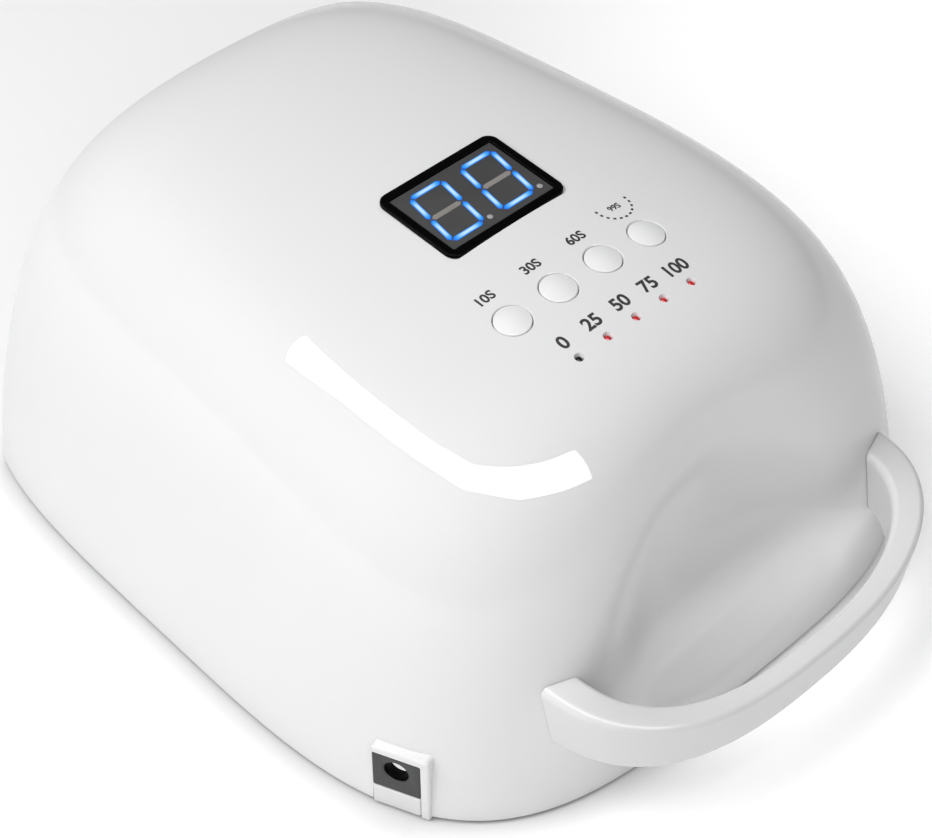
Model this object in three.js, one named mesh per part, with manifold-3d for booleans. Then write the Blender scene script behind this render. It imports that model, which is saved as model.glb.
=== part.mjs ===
// UV LED nail lamp: a cordless curing lamp with a glossy domed shell, a fixed carrying handle at the
// rear, four time buttons and a two-digit display on top, and an open arch for the hand at the front.
// Millimetres, +Z up, -Y is the front (hand opening), +X is the side with the charging socket.
import * as THREE from 'three';
import { mergeVertices } from 'three/addons/utils/BufferGeometryUtils.js';
import Module from 'manifold-3d';

const wasm = await Module();
wasm.setup();

// ---------- driving dimensions ----------
// dome
const HALF_WIDTH = 91.5;         // half width of the base outline at the crown line
const WIDEN = 0.049;             // how much wider the outline gets per 100 mm towards the rear
const REAR_REACH = 112.9;        // crown line to the rearmost point of the base
const FRONT_REACH = 114.3;       // where the outline would close at the front if it weren't cut
const REAR_SQUARE = 3.67;        // superellipse exponent of the rear half of the outline
const FRONT_SQUARE = 3.95;       // the same for the front half
const CROWN = 100.6;             // height of the dome
const WALL_REAR = 9.19;          // exponent that makes the rear walls steep
const WALL_FRONT = 6.19;
const SHOULDER_REAR = 1.338;     // exponent that rounds the shoulder
const SHOULDER_FRONT = 1.307;
const BLEND = 35;                // length over which front and rear exponents blend
const LENGTH_FALL = 0.035;       // fall of the crown per (100 mm)^2 away from FALL_FROM
const FALL_FROM = -57.9;
const CROSS_FALL = 0.196;        // fall of the crown per (100 mm)^2 across the width
const WALL = 2.6;                // shell thickness
const FRONT_CUT = -79.3;         // front plane at the bench
const FRONT_LEAN = 0.059;        // how far the front plane leans back per mm of height
// finger recess behind the handle
const SCOOP_DEPTH = 9.6;
const SCOOP_HALF = 37;
const SCOOP_Z = 24;
const SCOOP_UP = 45;
const SCOOP_DOWN = 15;
const SCOOP_EDGE = 4;            // exponent of the soft edge
// handle
const HANDLE_HALF = 55.5;        // centreline half width
const HANDLE_ROOT_Y = 101.2;     // where the two ends start, inside the shell wall
const HANDLE_REACH = 31;         // root to the centreline at the rear
const HANDLE_SQUARE = 2.5;
const HANDLE_THICK = 9.6;        // at the ends
const HANDLE_THIN = 6;           // at the middle of the grip
const HANDLE_TAPER = 1.6;        // exponent of the taper between them
const HANDLE_BOTTOM = 20.8;      // at the ends
const HANDLE_TOP = 38.1;
const HANDLE_DROP = 8;           // how far the top falls towards the rear
const HANDLE_DROP_LOW = 5.8;     // how far the bottom falls
const HANDLE_ROUND = 2.2;
const HANDLE_DRAFT = 2.8;        // the outside leans in by this much at the bottom
const HANDLE_STEPS = 26;
const LUG_R = 3.4;
const LUG_X = 54;
const LUG_Z = 29.5;
const LUG_END_Y = 99.2;
// control panel
const PANEL_TILT = THREE.MathUtils.degToRad(4.4);
const PANEL_Y = 54.2;            // the button row
const BUTTON_PITCH = 14.8;
const BUTTON_R = 4.5;
const BUTTON_HOLE_R = 4.75;
const BUTTON_TRAVEL = 0.6;
const LEVEL_Y = 71.7;            // row of the battery level lights
const LEVEL_PITCH = 9.3;
const LEVEL_R = 0.95;
const LEVEL_HOLE_R = 1.15;
const DISPLAY_Y = 18.2;
const DISPLAY_W = 37.9;
const DISPLAY_H = 27.1;
const DISPLAY_CORNER = 3.0;
const FACE_W = 33.2;
const FACE_H = 22.1;
const FRAME_THICK = 1.2;
const DIGIT_H = 18.8;
const DIGIT_W = 10.2;
const DIGIT_GAP = 16.6;          // pitch of the two digits
const DIGIT_SLANT = 0.14;
const DIGIT_BAR = 1.5;
const POCKET_W = 14.6;           // room of one digit in the display module
const POCKET_H = 20.6;
const BOARD_TOP = -13.4;         // top of the control board below the panel origin
const BOARD_THICK = 1.6;
// charging socket and its hood
const JACK_ANGLE = THREE.MathUtils.degToRad(22);
const JACK_X = 86.6;
const JACK_Y = 81.2;
const JACK_W = 12.2;
const JACK_BOTTOM = 6.4;
const JACK_TOP = 18.0;
const JACK_HOLE_Z = 13.2;
const JACK_HOLE_R = 3.15;
const JACK_DEEP = 14;
const HOOD_W = 14.85;           // slot edge to the outside of its one cheek
const HOOD_SHIFT = 1.075;
const HOOD_TOP = 20.2;
const HOOD_DEEP = 13.4;
// lining, light boards and base
const LINING = 1.5;
const LINING_PROFILE = [[67, 4.6], [65.5, 34], [41, 67.5]];   // right half of the inner arch
const LINING_BACK = 46;
const FACE_SET = 1.6;            // the front face sits this far behind the rim
const FACE_PLATE = 1.8;
const BEAD_R = 2.2;
const BEAD_PROUD = 0.6;
const LIGHT_BOARD = 1.2;
const FOOT = 0.8;                // the feet stand this far below the shell
const BASE_LOW = 0.2;
const BASE_TOP = 4.2;
const PLATE_HALF = 58;
const PLATE_Y = [-68, 44];
const PLATE_THICK = 1.2;
const FIT = 0.3;                 // clearance where pieces meet
// screw posts
const BOARD_POST_R = 2.6;
const BOARD_POST_LONG = 16;
const BOARD_PILOT_R = 1.0;
const BASE_POST_R = 3.2;
const BASE_POST_LONG = 86;       // longer than the room, cut off by the dome
const BASE_PILOT_R = 1.35;
const HANDLE_PILOT_R = 1.3;
// control board
const BOARD_W = 76;
const BOARD_D = 78;
const BOARD_MID_Y = -14.5;
const POCKET = 0.6;              // depth of the display's two digit pockets
const MODULE_DEEP = 8;
const SWITCH_SIZE = 6;
const SWITCH_RISE = 4.3;         // board to the top of a switch plunger
const SWITCH_BODY_RISE = 3.4;
const BUTTON_CROWN = 16;         // sphere radius of a button cap
const BUTTON_PROUD = 0.85;
// hand sensors, magnets and feet
const SENSOR_X = 5;
const SENSOR_Y = -66;
const SENSOR_HOLE_R = 2.8;
const MAGNET_R = 2.5;
const MAGNET_THICK = 1.4;
const FOOT_R = 5;
// battery and driver board
const CELL_R = 9.1;
const CELL_L = 65;
const CELL_Y = 64;
const CELL_ZS = [16, 34.6];
const DRIVER_W = 104;
const DRIVER_D = 40;
const DRIVER_Z = 50.5;
const MID_Y = 27.95;             // middle of the length, brought to the origin

const { PI, abs, sign, sin, cos, tanh, min, max, hypot, sqrt, exp } = Math;

// ---------- helpers ----------
function solid(geometry) {
  const g = geometry.clone();
  g.deleteAttribute('normal');
  g.deleteAttribute('uv');
  const m = mergeVertices(g, 1e-4);
  return new wasm.Manifold(new wasm.Mesh({
    numProp: 3,
    vertProperties: new Float32Array(m.attributes.position.array),
    triVerts: new Uint32Array(m.index.array),
  }));
}
function geometryOf(body) {
  const mesh = body.getMesh();
  const g = new THREE.BufferGeometry();
  g.setAttribute('position', new THREE.BufferAttribute(new Float32Array(mesh.vertProperties), 3));
  g.setIndex(new THREE.BufferAttribute(new Uint32Array(mesh.triVerts), 1));
  g.computeVertexNormals();
  return g;
}
function moved(geometry, x, y, z, matrix) {
  const g = geometry.clone();
  g.translate(x, y, z);
  if (matrix) g.applyMatrix4(matrix);
  return g;
}
const box = (w, d, h, x, y, z, matrix) => solid(moved(new THREE.BoxGeometry(w, d, h), x, y, z, matrix));
// cylinder standing on z0 with its axis along Z
function cylinder(r, h, x, y, z0, matrix, sides = 20) {
  const g = new THREE.CylinderGeometry(r, r, h, sides);
  g.rotateX(PI / 2);
  return solid(moved(g, x, y, z0 + h / 2, matrix));
}
function lathe(profile, sides = 20) {
  const g = new THREE.LatheGeometry(profile.map(([r, z]) => new THREE.Vector2(r, z)), sides);
  g.rotateX(PI / 2);
  return g;
}
function roundedRect(w, h, r) {
  const s = new THREE.Shape();
  const a = w / 2, b = h / 2;
  s.moveTo(-a + r, -b);
  s.lineTo(a - r, -b);
  s.absarc(a - r, -b + r, r, -PI / 2, 0);
  s.lineTo(a, b - r);
  s.absarc(a - r, b - r, r, 0, PI / 2);
  s.lineTo(-a + r, b);
  s.absarc(-a + r, b - r, r, PI / 2, PI);
  s.lineTo(-a, -b + r);
  s.absarc(-a + r, -b + r, r, PI, 1.5 * PI);
  return s;
}
const extrude = (shape, depth, curveSegments = 5) =>
  new THREE.ExtrudeGeometry(shape, { depth, bevelEnabled: false, curveSegments });

const root = new THREE.Group();
root.name = 'nail_lamp';
root.position.set(0, -MID_Y, FOOT);
function add(parent, name, geometry, look) {
  const material = new THREE.MeshStandardMaterial(look);
  const mesh = new THREE.Mesh(geometry, material);
  mesh.name = name;
  parent.add(mesh);
  return mesh;
}
const WHITE = { color: 0xf2f2f0, roughness: 0.22, metalness: 0 };
const BLACK = { color: 0x0c0c0d, roughness: 0.25, metalness: 0 };
const GREY = { color: 0x4a4b4e, roughness: 0.5, metalness: 0 };
const BOARD = { color: 0x1f6a3c, roughness: 0.6, metalness: 0 };
const STEEL = { color: 0xc6c8ca, roughness: 0.3, metalness: 1 };
const MIRROR = { color: 0xe2e4e6, roughness: 0.08, metalness: 1 };
const RUBBER = { color: 0x1b1b1c, roughness: 0.85, metalness: 0 };
const WRAP = { color: 0x2f6fb5, roughness: 0.4, metalness: 0 };

// ---------- dome ----------
const rearShare = y => 0.5 + 0.5 * tanh(y / BLEND);
const wallPower = y => WALL_FRONT + (WALL_REAR - WALL_FRONT) * rearShare(y);
const shoulderPower = y => SHOULDER_FRONT + (SHOULDER_REAR - SHOULDER_FRONT) * rearShare(y);
const square = y => (y > 0 ? REAR_SQUARE : FRONT_SQUARE);
const reach = y => (y > 0 ? REAR_REACH : FRONT_REACH);
const crownAt = (x, y) =>
  (1 - LENGTH_FALL * ((y - FALL_FROM) / 100) ** 2) * (1 - CROSS_FALL * (x / 100) ** 2);
// height of the outer surface above the shell's lower edge
function surfaceZ(x, y) {
  const q = square(y);
  const wide = HALF_WIDTH * (1 + WIDEN * y / 100);
  const ratio = (abs(x / wide) ** q + abs(y / reach(y)) ** q) ** (1 / q);
  return CROWN * crownAt(x, y) * max(0, 1 - ratio ** wallPower(y)) ** (1 / shoulderPower(y));
}
function scoopShare(x, z) {
  const up = z > SCOOP_Z ? SCOOP_UP : SCOOP_DOWN;
  const d = hypot(x / SCOOP_HALF, (z - SCOOP_Z) / up);
  return exp(-(d ** SCOOP_EDGE));
}
// stations along the wall and over the shoulder, evenly spaced along the nominal profile
function stations(count) {
  const dense = [];
  for (let i = 0; i <= 400; i++) {
    const t = sin((i / 400) * PI / 2);
    dense.push([(1 - t ** SHOULDER_REAR) ** (1 / WALL_REAR), t]);
  }
  const along = [0];
  for (let i = 1; i < dense.length; i++) {
    along.push(along[i - 1] + hypot((dense[i][0] - dense[i - 1][0]) * HALF_WIDTH,
      (dense[i][1] - dense[i - 1][1]) * CROWN));
  }
  const total = along[along.length - 1];
  const picked = [];
  for (let k = 0; k < count; k++) {
    const want = (total * k) / count;
    const i = along.findIndex(a => a >= want);
    picked.push(dense[i][0]);
  }
  return picked;
}
// closed dome, grown outward by `grow`, with its flat bottom at z = -skirt
function dome(grow, rings, sides, skirt) {
  const ratios = stations(rings);
  const profile = [new THREE.Vector2(0, -1)];
  if (skirt > 0) profile.push(new THREE.Vector2(1, -1));
  ratios.forEach((r, i) => profile.push(new THREE.Vector2(r, i)));
  profile.push(new THREE.Vector2(0, rings));
  const g = new THREE.LatheGeometry(profile, sides);
  const p = g.attributes.position;
  for (let i = 0; i < p.count; i++) {
    const ring = p.getY(i);
    const ratio = hypot(p.getX(i), p.getZ(i));
    let a = Math.atan2(p.getX(i), p.getZ(i));
    a += 0.3 * cos(a);                       // sections lie closer together at the rear
    const c = cos(a), s = sin(a);
    const q = square(s);
    const k = (abs(c) ** q + abs(s) ** q) ** (-1 / q);
    const y = ratio * k * s * (reach(s) + grow);
    const x = ratio * k * c * (HALF_WIDTH + grow) * (1 + WIDEN * y / 100);
    const z = ring < 0 ? -skirt : (CROWN + grow) * crownAt(x, y) *
      max(0, 1 - min(1, ratio) ** wallPower(y)) ** (1 / shoulderPower(y));
    const push = s > 0 ? SCOOP_DEPTH * scoopShare(x, z) * min(1, max(0, (y - 40) / 30)) : 0;
    p.setXYZ(i, x, y - push, z);
  }
  return solid(g);
}
// everything in front of the leaning front plane moved back by `set`
const leanMatrix = new THREE.Matrix4().makeRotationX(-Math.atan(FRONT_LEAN));
leanMatrix.setPosition(0, FRONT_CUT, 0);
const ahead = set => box(260, 120, 260, 0, -60 + set, 60, leanMatrix);

const OUTER_RINGS = 17;
const OUTER_SIDES = 64;
const INNER_RINGS = 10;
const INNER_SIDES = 40;
const outer = dome(0, OUTER_RINGS, OUTER_SIDES, 0);
const inner = dome(-WALL, INNER_RINGS, INNER_SIDES, 5);
const innerFit = dome(-WALL - FIT, INNER_RINGS, INNER_SIDES, 5);

// ---------- frames used by several pieces ----------
const panelMatrix = new THREE.Matrix4().makeRotationX(-PANEL_TILT);
panelMatrix.setPosition(0, PANEL_Y, surfaceZ(0, PANEL_Y));
const panelInverse = panelMatrix.clone().invert();
// a point of the outer surface above (x, y), in panel coordinates
const onPanel = (x, y) => new THREE.Vector3(x, y, surfaceZ(x, y)).applyMatrix4(panelInverse);
const displayAt = onPanel(0, DISPLAY_Y);
const jackMatrix = new THREE.Matrix4().makeRotationZ(JACK_ANGLE);
jackMatrix.setPosition(JACK_X, JACK_Y, 0);

const buttonXs = [1.5, 0.5, -0.5, -1.5].map(k => k * BUTTON_PITCH);
const levelXs = [2, 1, 0, -1, -2].map(k => k * LEVEL_PITCH);
const postAt = [[-34, -46], [34, -46], [-34, 17], [34, 17]];
const baseScrewAt = [[-77, -36], [77, -36], [-75, 59], [75, 59]];

// ---------- top shell ----------
const hood = box(HOOD_DEEP, HOOD_W, HOOD_TOP, -HOOD_DEEP / 2, HOOD_SHIFT, HOOD_TOP / 2, jackMatrix);
let shell = outer.add(hood);
const hoodRoom = box(HOOD_DEEP + 2, HOOD_W, 2 * HOOD_TOP, 1 - HOOD_DEEP / 2, HOOD_SHIFT, 0, jackMatrix);
shell = shell.subtract(inner.subtract(hoodRoom));
const SLOT_BELOW = 10;                                    // the slot runs out below the shell
shell = shell.subtract(box(30, JACK_W + 0.5, JACK_TOP + FIT + SLOT_BELOW, -8, 0,
  (JACK_TOP + FIT - SLOT_BELOW) / 2, jackMatrix));
const posts = postAt.map(([x, y]) =>
  cylinder(BOARD_POST_R, BOARD_POST_LONG, x, y, BOARD_TOP + 0.2, panelMatrix, 14))
  .concat(baseScrewAt.map(([x, y]) =>
    cylinder(BASE_POST_R, BASE_POST_LONG, x, y, BASE_TOP + 0.2, null, 14)));
const domeForPosts = dome(-WALL / 2, INNER_RINGS, INNER_SIDES, 5);
for (const post of posts) shell = shell.add(post.intersect(domeForPosts));
shell = shell.subtract(ahead(0));
// windows and holes of the control panel
shell = shell.subtract(solid(moved(extrude(roundedRect(DISPLAY_W + 0.4, DISPLAY_H + 0.4,
  DISPLAY_CORNER + 0.2), 6), 0, displayAt.y, displayAt.z - 0.85, panelMatrix)));
shell = shell.subtract(box(FACE_W + 0.8, FACE_H + 0.8, 16, 0, displayAt.y, displayAt.z - 4, panelMatrix));
for (const x of buttonXs) {
  shell = shell.subtract(cylinder(BUTTON_HOLE_R, 12, x, 0, -7, panelMatrix, 24));
}
for (const x of levelXs) {
  const at = onPanel(x, LEVEL_Y);
  shell = shell.subtract(cylinder(LEVEL_HOLE_R, 12, x, at.y, at.z - 7, panelMatrix, 12));
}
for (const [x, y] of postAt) {
  shell = shell.subtract(cylinder(BOARD_PILOT_R, 6, x, y, BOARD_TOP, panelMatrix, 10));
}
for (const [x, y] of baseScrewAt) {
  shell = shell.subtract(cylinder(BASE_PILOT_R, 10, x, y, BASE_TOP, null, 10));
}
const alongY = new THREE.Matrix4().makeRotationX(-PI / 2);
for (const side of [-1, 1]) {
  shell = shell.subtract(cylinder(LUG_R + FIT, 30, side * LUG_X, -LUG_Z, 90, alongY, 18));
}
add(root, 'top_shell', geometryOf(shell), WHITE);

// ---------- handle ----------
function handleSolid() {
  const h = HANDLE_TOP - HANDLE_BOTTOM;
  const g = new THREE.ExtrudeGeometry(roundedRect(HANDLE_THICK, h, HANDLE_ROUND),
    { depth: 1, steps: HANDLE_STEPS, bevelEnabled: false, curveSegments: 3 });
  const p = g.attributes.position;
  for (let i = 0; i < p.count; i++) {
    const a = PI * (1 - p.getZ(i));                      // 0 at the +X end, PI at the -X end
    const c = cos(a), s = sin(a);
    const e = 2 / HANDLE_SQUARE;
    const x0 = HANDLE_HALF * sign(c) * abs(c) ** e;
    const y0 = HANDLE_ROOT_Y + HANDLE_REACH * abs(s) ** e;
    // outward normal of the centreline, from the implicit curve
    let nx = sign(c) * (abs(x0) / HANDLE_HALF) ** (HANDLE_SQUARE - 1) / HANDLE_HALF;
    let ny = ((y0 - HANDLE_ROOT_Y) / HANDLE_REACH) ** (HANDLE_SQUARE - 1) / HANDLE_REACH;
    const n = hypot(nx, ny) || 1;
    nx /= n;
    ny /= n;
    const slim = HANDLE_THIN + (HANDLE_THICK - HANDLE_THIN) * (1 - abs(s) ** HANDLE_TAPER);
    const edge = p.getX(i) / (HANDLE_THICK / 2);         // -1 inside, 1 outside
    let off = edge * slim / 2;
    const low = 0.5 - p.getY(i) / h;                     // 0 at the top, 1 at the bottom
    if (edge > 0) off -= HANDLE_DRAFT * low * edge * abs(s) ** 0.5;
    const drop = HANDLE_DROP + (HANDLE_DROP_LOW - HANDLE_DROP) * low;
    const z = HANDLE_TOP - h * low - drop * ((y0 - HANDLE_ROOT_Y) / HANDLE_REACH) ** 2;
    p.setXYZ(i, x0 + nx * off, y0 + ny * off, z);
  }
  return solid(g);
}
const outerGap = dome(FIT - 0.05, OUTER_RINGS, OUTER_SIDES, 5);
let handle = handleSolid();
for (const side of [-1, 1]) {
  handle = handle.add(box(HANDLE_THICK - 1, 8, 14, side * (HANDLE_HALF + 0.3), HANDLE_ROOT_Y + 1.5,
    (HANDLE_TOP + HANDLE_BOTTOM) / 2));
}
handle = handle.subtract(outerGap);
for (const side of [-1, 1]) {
  handle = handle.add(cylinder(LUG_R, 12, side * LUG_X, -LUG_Z, LUG_END_Y, alongY, 16));
  handle = handle.subtract(cylinder(HANDLE_PILOT_R, 9, side * LUG_X, -LUG_Z, LUG_END_Y - 1, alongY, 10));
}
add(root, 'handle', geometryOf(handle), WHITE);

// ---------- display ----------
const panel = new THREE.Group();
panel.name = 'panel';
panel.position.set(0, PANEL_Y, surfaceZ(0, PANEL_Y));
panel.rotation.x = -PANEL_TILT;
root.add(panel);
const displayGroup = new THREE.Group();
displayGroup.name = 'display';
displayGroup.position.copy(displayAt);
panel.add(displayGroup);
const ring = roundedRect(DISPLAY_W, DISPLAY_H, DISPLAY_CORNER);
ring.holes.push(roundedRect(FACE_W + 0.2, FACE_H + 0.2, 0.3));
add(displayGroup, 'display_frame', moved(extrude(ring, FRAME_THICK), 0, 0, -0.8), BLACK);
let module = box(FACE_W - 0.2, FACE_H - 0.2, MODULE_DEEP, 0, 0, -MODULE_DEEP / 2);
const pinLength = -BOARD_TOP + displayAt.z - MODULE_DEEP - 0.1;
for (const side of [-1, 1]) {
  module = module.add(box(24, 1.2, pinLength + 0.5, 0, side * 8, -MODULE_DEEP - pinLength / 2 + 0.25));
}
const digitXs = [0.5, -0.5].map(k => k * DIGIT_GAP);
for (const x of digitXs) module = module.subtract(box(POCKET_W, POCKET_H, 2 * POCKET, x, 0, 0));
add(displayGroup, 'display_module', geometryOf(module), GREY);
// one digit: a thin light guide plate with seven raised bars, read from the handle side
function digitGeometry() {
  let body = box(POCKET_W - 0.4, POCKET_H - 0.4, 0.25, 0, 0, -POCKET + 0.125 + 0.05);
  const bar = (x, y, w, h) => {
    const s = new THREE.Shape();
    const along = w > h;
    const a = (along ? w : h) / 2, b = (along ? h : w) / 2;
    const outline = [[-a, 0], [-a + b, -b], [a - b, -b], [a, 0], [a - b, b], [-a + b, b]];
    outline.forEach(([u, v], i) => {
      const px = x + (along ? u : v), py = y + (along ? v : u);
      s[i ? 'lineTo' : 'moveTo'](px + DIGIT_SLANT * py, py);
    });
    body = body.add(solid(moved(extrude(s, POCKET - 0.15), 0, 0, -POCKET + 0.1)));
  };
  const half = DIGIT_H / 2 - 0.9, wide = DIGIT_W / 2;
  for (const y of [-half, 0, half]) bar(0, y, DIGIT_W - 0.7, DIGIT_BAR);
  for (const x of [-wide, wide]) for (const y of [-half / 2, half / 2]) bar(x, y, DIGIT_BAR, half - 0.5);
  return geometryOf(body);
}
const digitLook = { color: 0x9fb4c8, roughness: 0.35, metalness: 0 };
digitXs.forEach((x, i) => {
  const digit = add(displayGroup, i ? 'digit_units' : 'digit_tens', digitGeometry(), digitLook);
  digit.position.x = x;
  digit.rotation.z = PI;                                  // text reads from the rear
});

// ---------- buttons and switches ----------
const SWITCH_TOP = BOARD_TOP + SWITCH_RISE;
const STEM_END = SWITCH_TOP + BUTTON_TRAVEL + 0.15;
// a spherical crown over a wide drum, from which the cap's domed top is cut
const crownProfile = [[0, -8], [1.4 * BUTTON_R, -8]];
for (let i = 4; i >= 0; i--) {
  const r = 1.4 * BUTTON_R * i / 4;
  crownProfile.push([r, BUTTON_PROUD - BUTTON_CROWN + sqrt(BUTTON_CROWN ** 2 - r ** 2)]);
}
const names = ['10s', '30s', '60s', '99s'];
buttonXs.forEach((x, i) => {
  const at = onPanel(x, PANEL_Y);
  const slope = (surfaceZ(x + 1, PANEL_Y) - surfaceZ(x - 1, PANEL_Y)) / 2;
  const up = new THREE.Vector3(-slope, 0, 1).normalize();
  const tilt = new THREE.Matrix4().makeRotationFromQuaternion(
    new THREE.Quaternion().setFromUnitVectors(new THREE.Vector3(0, 0, 1), up));
  tilt.setPosition(0, 0, at.z);
  const flange = at.z - WALL - 3 * FIT;
  let cap = cylinder(BUTTON_R, 10, 0, 0, flange - 0.5, null, 28)
    .intersect(solid(lathe(crownProfile, 28).applyMatrix4(tilt)));
  cap = cap.add(cylinder(BUTTON_R + 1.2, 0.9, 0, 0, flange - 0.9, null, 20));
  cap = cap.add(cylinder(1.9, flange - STEM_END, 0, 0, STEM_END, null, 12));
  const group = new THREE.Group();
  group.name = `key_${names[i]}`;
  group.position.set(x, 0, 0);
  panel.add(group);
  add(group, `button_${names[i]}`, geometryOf(cap), WHITE);
  const bodyTop = BOARD_TOP + SWITCH_BODY_RISE;
  const body = box(SWITCH_SIZE, SWITCH_SIZE, 3.3, 0, 0, bodyTop - 1.65)
    .add(cylinder(1.7, SWITCH_TOP - bodyTop + 0.5, 0, 0, bodyTop - 0.5, null, 12));
  add(group, `switch_${names[i]}`, geometryOf(body), BLACK);
});

// ---------- battery level lights ----------
levelXs.forEach((x, i) => {
  const at = onPanel(x, LEVEL_Y);
  const top = at.z - 0.35;
  const legs = box(2.0, 0.6, top - 5 - BOARD_TOP, 0, 0, (top - 5 + BOARD_TOP) / 2 + 0.2);
  const lamp = solid(lathe([[0, top - 5.2], [1.6, top - 5.2], [1.6, top - 4.2], [LEVEL_R, top - 4.2],
    [LEVEL_R, top - 0.9], [LEVEL_R * 0.7, top - 0.25], [0, top]], 12)).add(legs);
  const red = { color: 0xc3202a, roughness: 0.25, metalness: 0 };
  const light = add(panel, `level_light_${i + 1}`, geometryOf(lamp), red);
  light.position.set(x, at.y, 0);
});

// ---------- control board ----------
let board = box(BOARD_W, BOARD_D, BOARD_THICK, 0, BOARD_MID_Y, BOARD_TOP - BOARD_THICK / 2);
for (const [x, y] of postAt) {
  board = board.subtract(cylinder(1.3, 4, x, y, BOARD_TOP - 3, null, 10));
}
board = board.add(box(12, 12, 1.6, -22, -34, BOARD_TOP - BOARD_THICK - 0.7));
board = board.add(box(20, 6, 3.4, 16, -48, BOARD_TOP - BOARD_THICK - 1.6));
add(panel, 'control_board', geometryOf(board), BOARD);
postAt.forEach(([x, y], i) => {
  const low = BOARD_TOP - BOARD_THICK;
  const screw = add(panel, `board_screw_${i + 1}`,
    lathe([[0, low - 1.5], [1.9, low - 1.5], [1.9, low - 0.1], [0.85, low - 0.1],
      [0.85, low + 4.6], [0, low + 4.6]], 12), STEEL);
  screw.position.set(x, y, 0);
});

// ---------- lining with its front face ----------
function archShape(grow) {
  const [foot, knee, top] = LINING_PROFILE;
  const s = new THREE.Shape();
  const points = [[foot[0] + grow, foot[1]], [knee[0] + grow, knee[1] + grow * 0.3],
    [top[0] + grow * 0.5, top[1] + grow]];
  points.forEach(([x, z], i) => s[i ? 'lineTo' : 'moveTo'](x, z));
  points.reverse().forEach(([x, z]) => s.lineTo(-x, z));
  return s;
}
// an arch prism running from y0 to y1
function arch(grow, y0, y1) {
  const g = extrude(archShape(grow), y1 - y0);
  g.rotateX(PI / 2);
  g.translate(0, y1, 0);
  return solid(g);
}
let lining = arch(LINING, FRONT_CUT, LINING_BACK + LINING).subtract(arch(0, FRONT_CUT - 20, LINING_BACK));
const facePlate = innerFit.intersect(ahead(FACE_SET + FACE_PLATE)).subtract(ahead(FACE_SET))
  .subtract(arch(0, FRONT_CUT - 20, LINING_BACK))
  .subtract(box(260, 60, 40, 0, FRONT_CUT, BASE_TOP + FIT - 20));
lining = lining.subtract(ahead(FACE_SET)).add(facePlate);
lining = lining.subtract(box(260, 260, 40, 0, 0, BASE_TOP + FIT - 20));
// bead positions: each board has its own matrix whose local +Z points into the hand space
const [footPt, kneePt, topPt] = LINING_PROFILE;
const slantAngle = Math.atan2(topPt[1] - kneePt[1], kneePt[0] - topPt[0]);
const slantMid = [(kneePt[0] + topPt[0]) / 2, (kneePt[1] + topPt[1]) / 2];
const boards = [];
boards.push({ name: 'uv_board_top', at: [0, -12, topPt[1]], turn: [PI, 0, 0], w: 74, d: 96,
  beads: [-26, 0, 26].flatMap(x => [-36, -12, 12, 36].map(y => [x, y])) });
for (const side of [-1, 1]) {
  boards.push({ name: side > 0 ? 'uv_board_side_socket' : 'uv_board_side_plain',
    at: [side * slantMid[0], -12, slantMid[1]], turn: [0, side * (slantAngle - PI), 0], w: 32, d: 96,
    beads: [-8, 8].flatMap(x => [-36, -12, 12, 36].map(y => [x, y])) });
}
boards.push({ name: 'uv_board_back', at: [0, LINING_BACK, 44], turn: [PI / 2, 0, 0], w: 66, d: 24,
  beads: [-24, 0, 24].map(x => [x, 0]) });
for (const b of boards) {
  b.matrix = new THREE.Matrix4().makeRotationFromEuler(new THREE.Euler(...b.turn));
  b.matrix.setPosition(...b.at);
  for (const [x, y] of b.beads) {
    lining = lining.subtract(cylinder(BEAD_R + 0.35, 6, x, y, -4, b.matrix, 8));
  }
}
const sensorXs = [-SENSOR_X, SENSOR_X];
for (const x of sensorXs) {
  lining = lining.subtract(cylinder(SENSOR_HOLE_R, 8, x, SENSOR_Y, topPt[1] - 3, null, 12));
}
add(root, 'reflector_lining', geometryOf(lining), MIRROR);
for (const b of boards) {
  const low = -LINING - 0.15;
  let body = box(b.w, b.d, LIGHT_BOARD, 0, 0, low - LIGHT_BOARD / 2);
  for (const [x, y] of b.beads) {
    body = body.add(cylinder(BEAD_R, LINING + 0.5 + BEAD_PROUD, x, y, low - 0.35, null, 8));
  }
  const mesh = add(root, b.name, geometryOf(body), { color: 0xf0ede2, roughness: 0.5, metalness: 0 });
  mesh.position.set(...b.at);
  mesh.rotation.set(...b.turn);
}
sensorXs.forEach((x, i) => {
  const eye = add(root, i ? 'hand_sensor_receiver' : 'hand_sensor_emitter',
    lathe([[0, -1.2], [1.5, -0.8], [2.5, 0.6], [2.5, 3.2], [3.1, 3.2], [3.1, 4.2], [0, 4.2]], 14),
    i ? BLACK : { color: 0xd8dde2, roughness: 0.15, metalness: 0 });
  eye.position.set(x, SENSOR_Y, topPt[1]);
  eye.position.z += LINING + 0.15 - 3.2 + 0.1;
});

// ---------- base ring, plate, magnets, feet and screws ----------
const footAt = [[-75, -58], [75, -58], [-62, 84], [62, 84]];
const magnetAt = [[-60.5, -50], [60.5, -50], [-60.5, 28], [60.5, 28]];
const slab = box(300, 300, BASE_TOP - BASE_LOW, 0, 0, (BASE_TOP + BASE_LOW) / 2);
const plateMid = (PLATE_Y[0] + PLATE_Y[1]) / 2;
const plateDeep = PLATE_Y[1] - PLATE_Y[0];
const REBATE = PLATE_THICK + 0.4;
let base = innerFit.intersect(slab).subtract(ahead(FACE_SET));
base = base.subtract(box(2 * PLATE_HALF, plateDeep, 20, 0, plateMid, 0));
base = base.subtract(box(2 * PLATE_HALF + 13, plateDeep + 7, 2 * REBATE, 0, plateMid, BASE_LOW));
base = base.subtract(box(20, HOOD_W + 2 * FIT, 20, 10 - HOOD_DEEP - FIT, HOOD_SHIFT, 10, jackMatrix));
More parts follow.
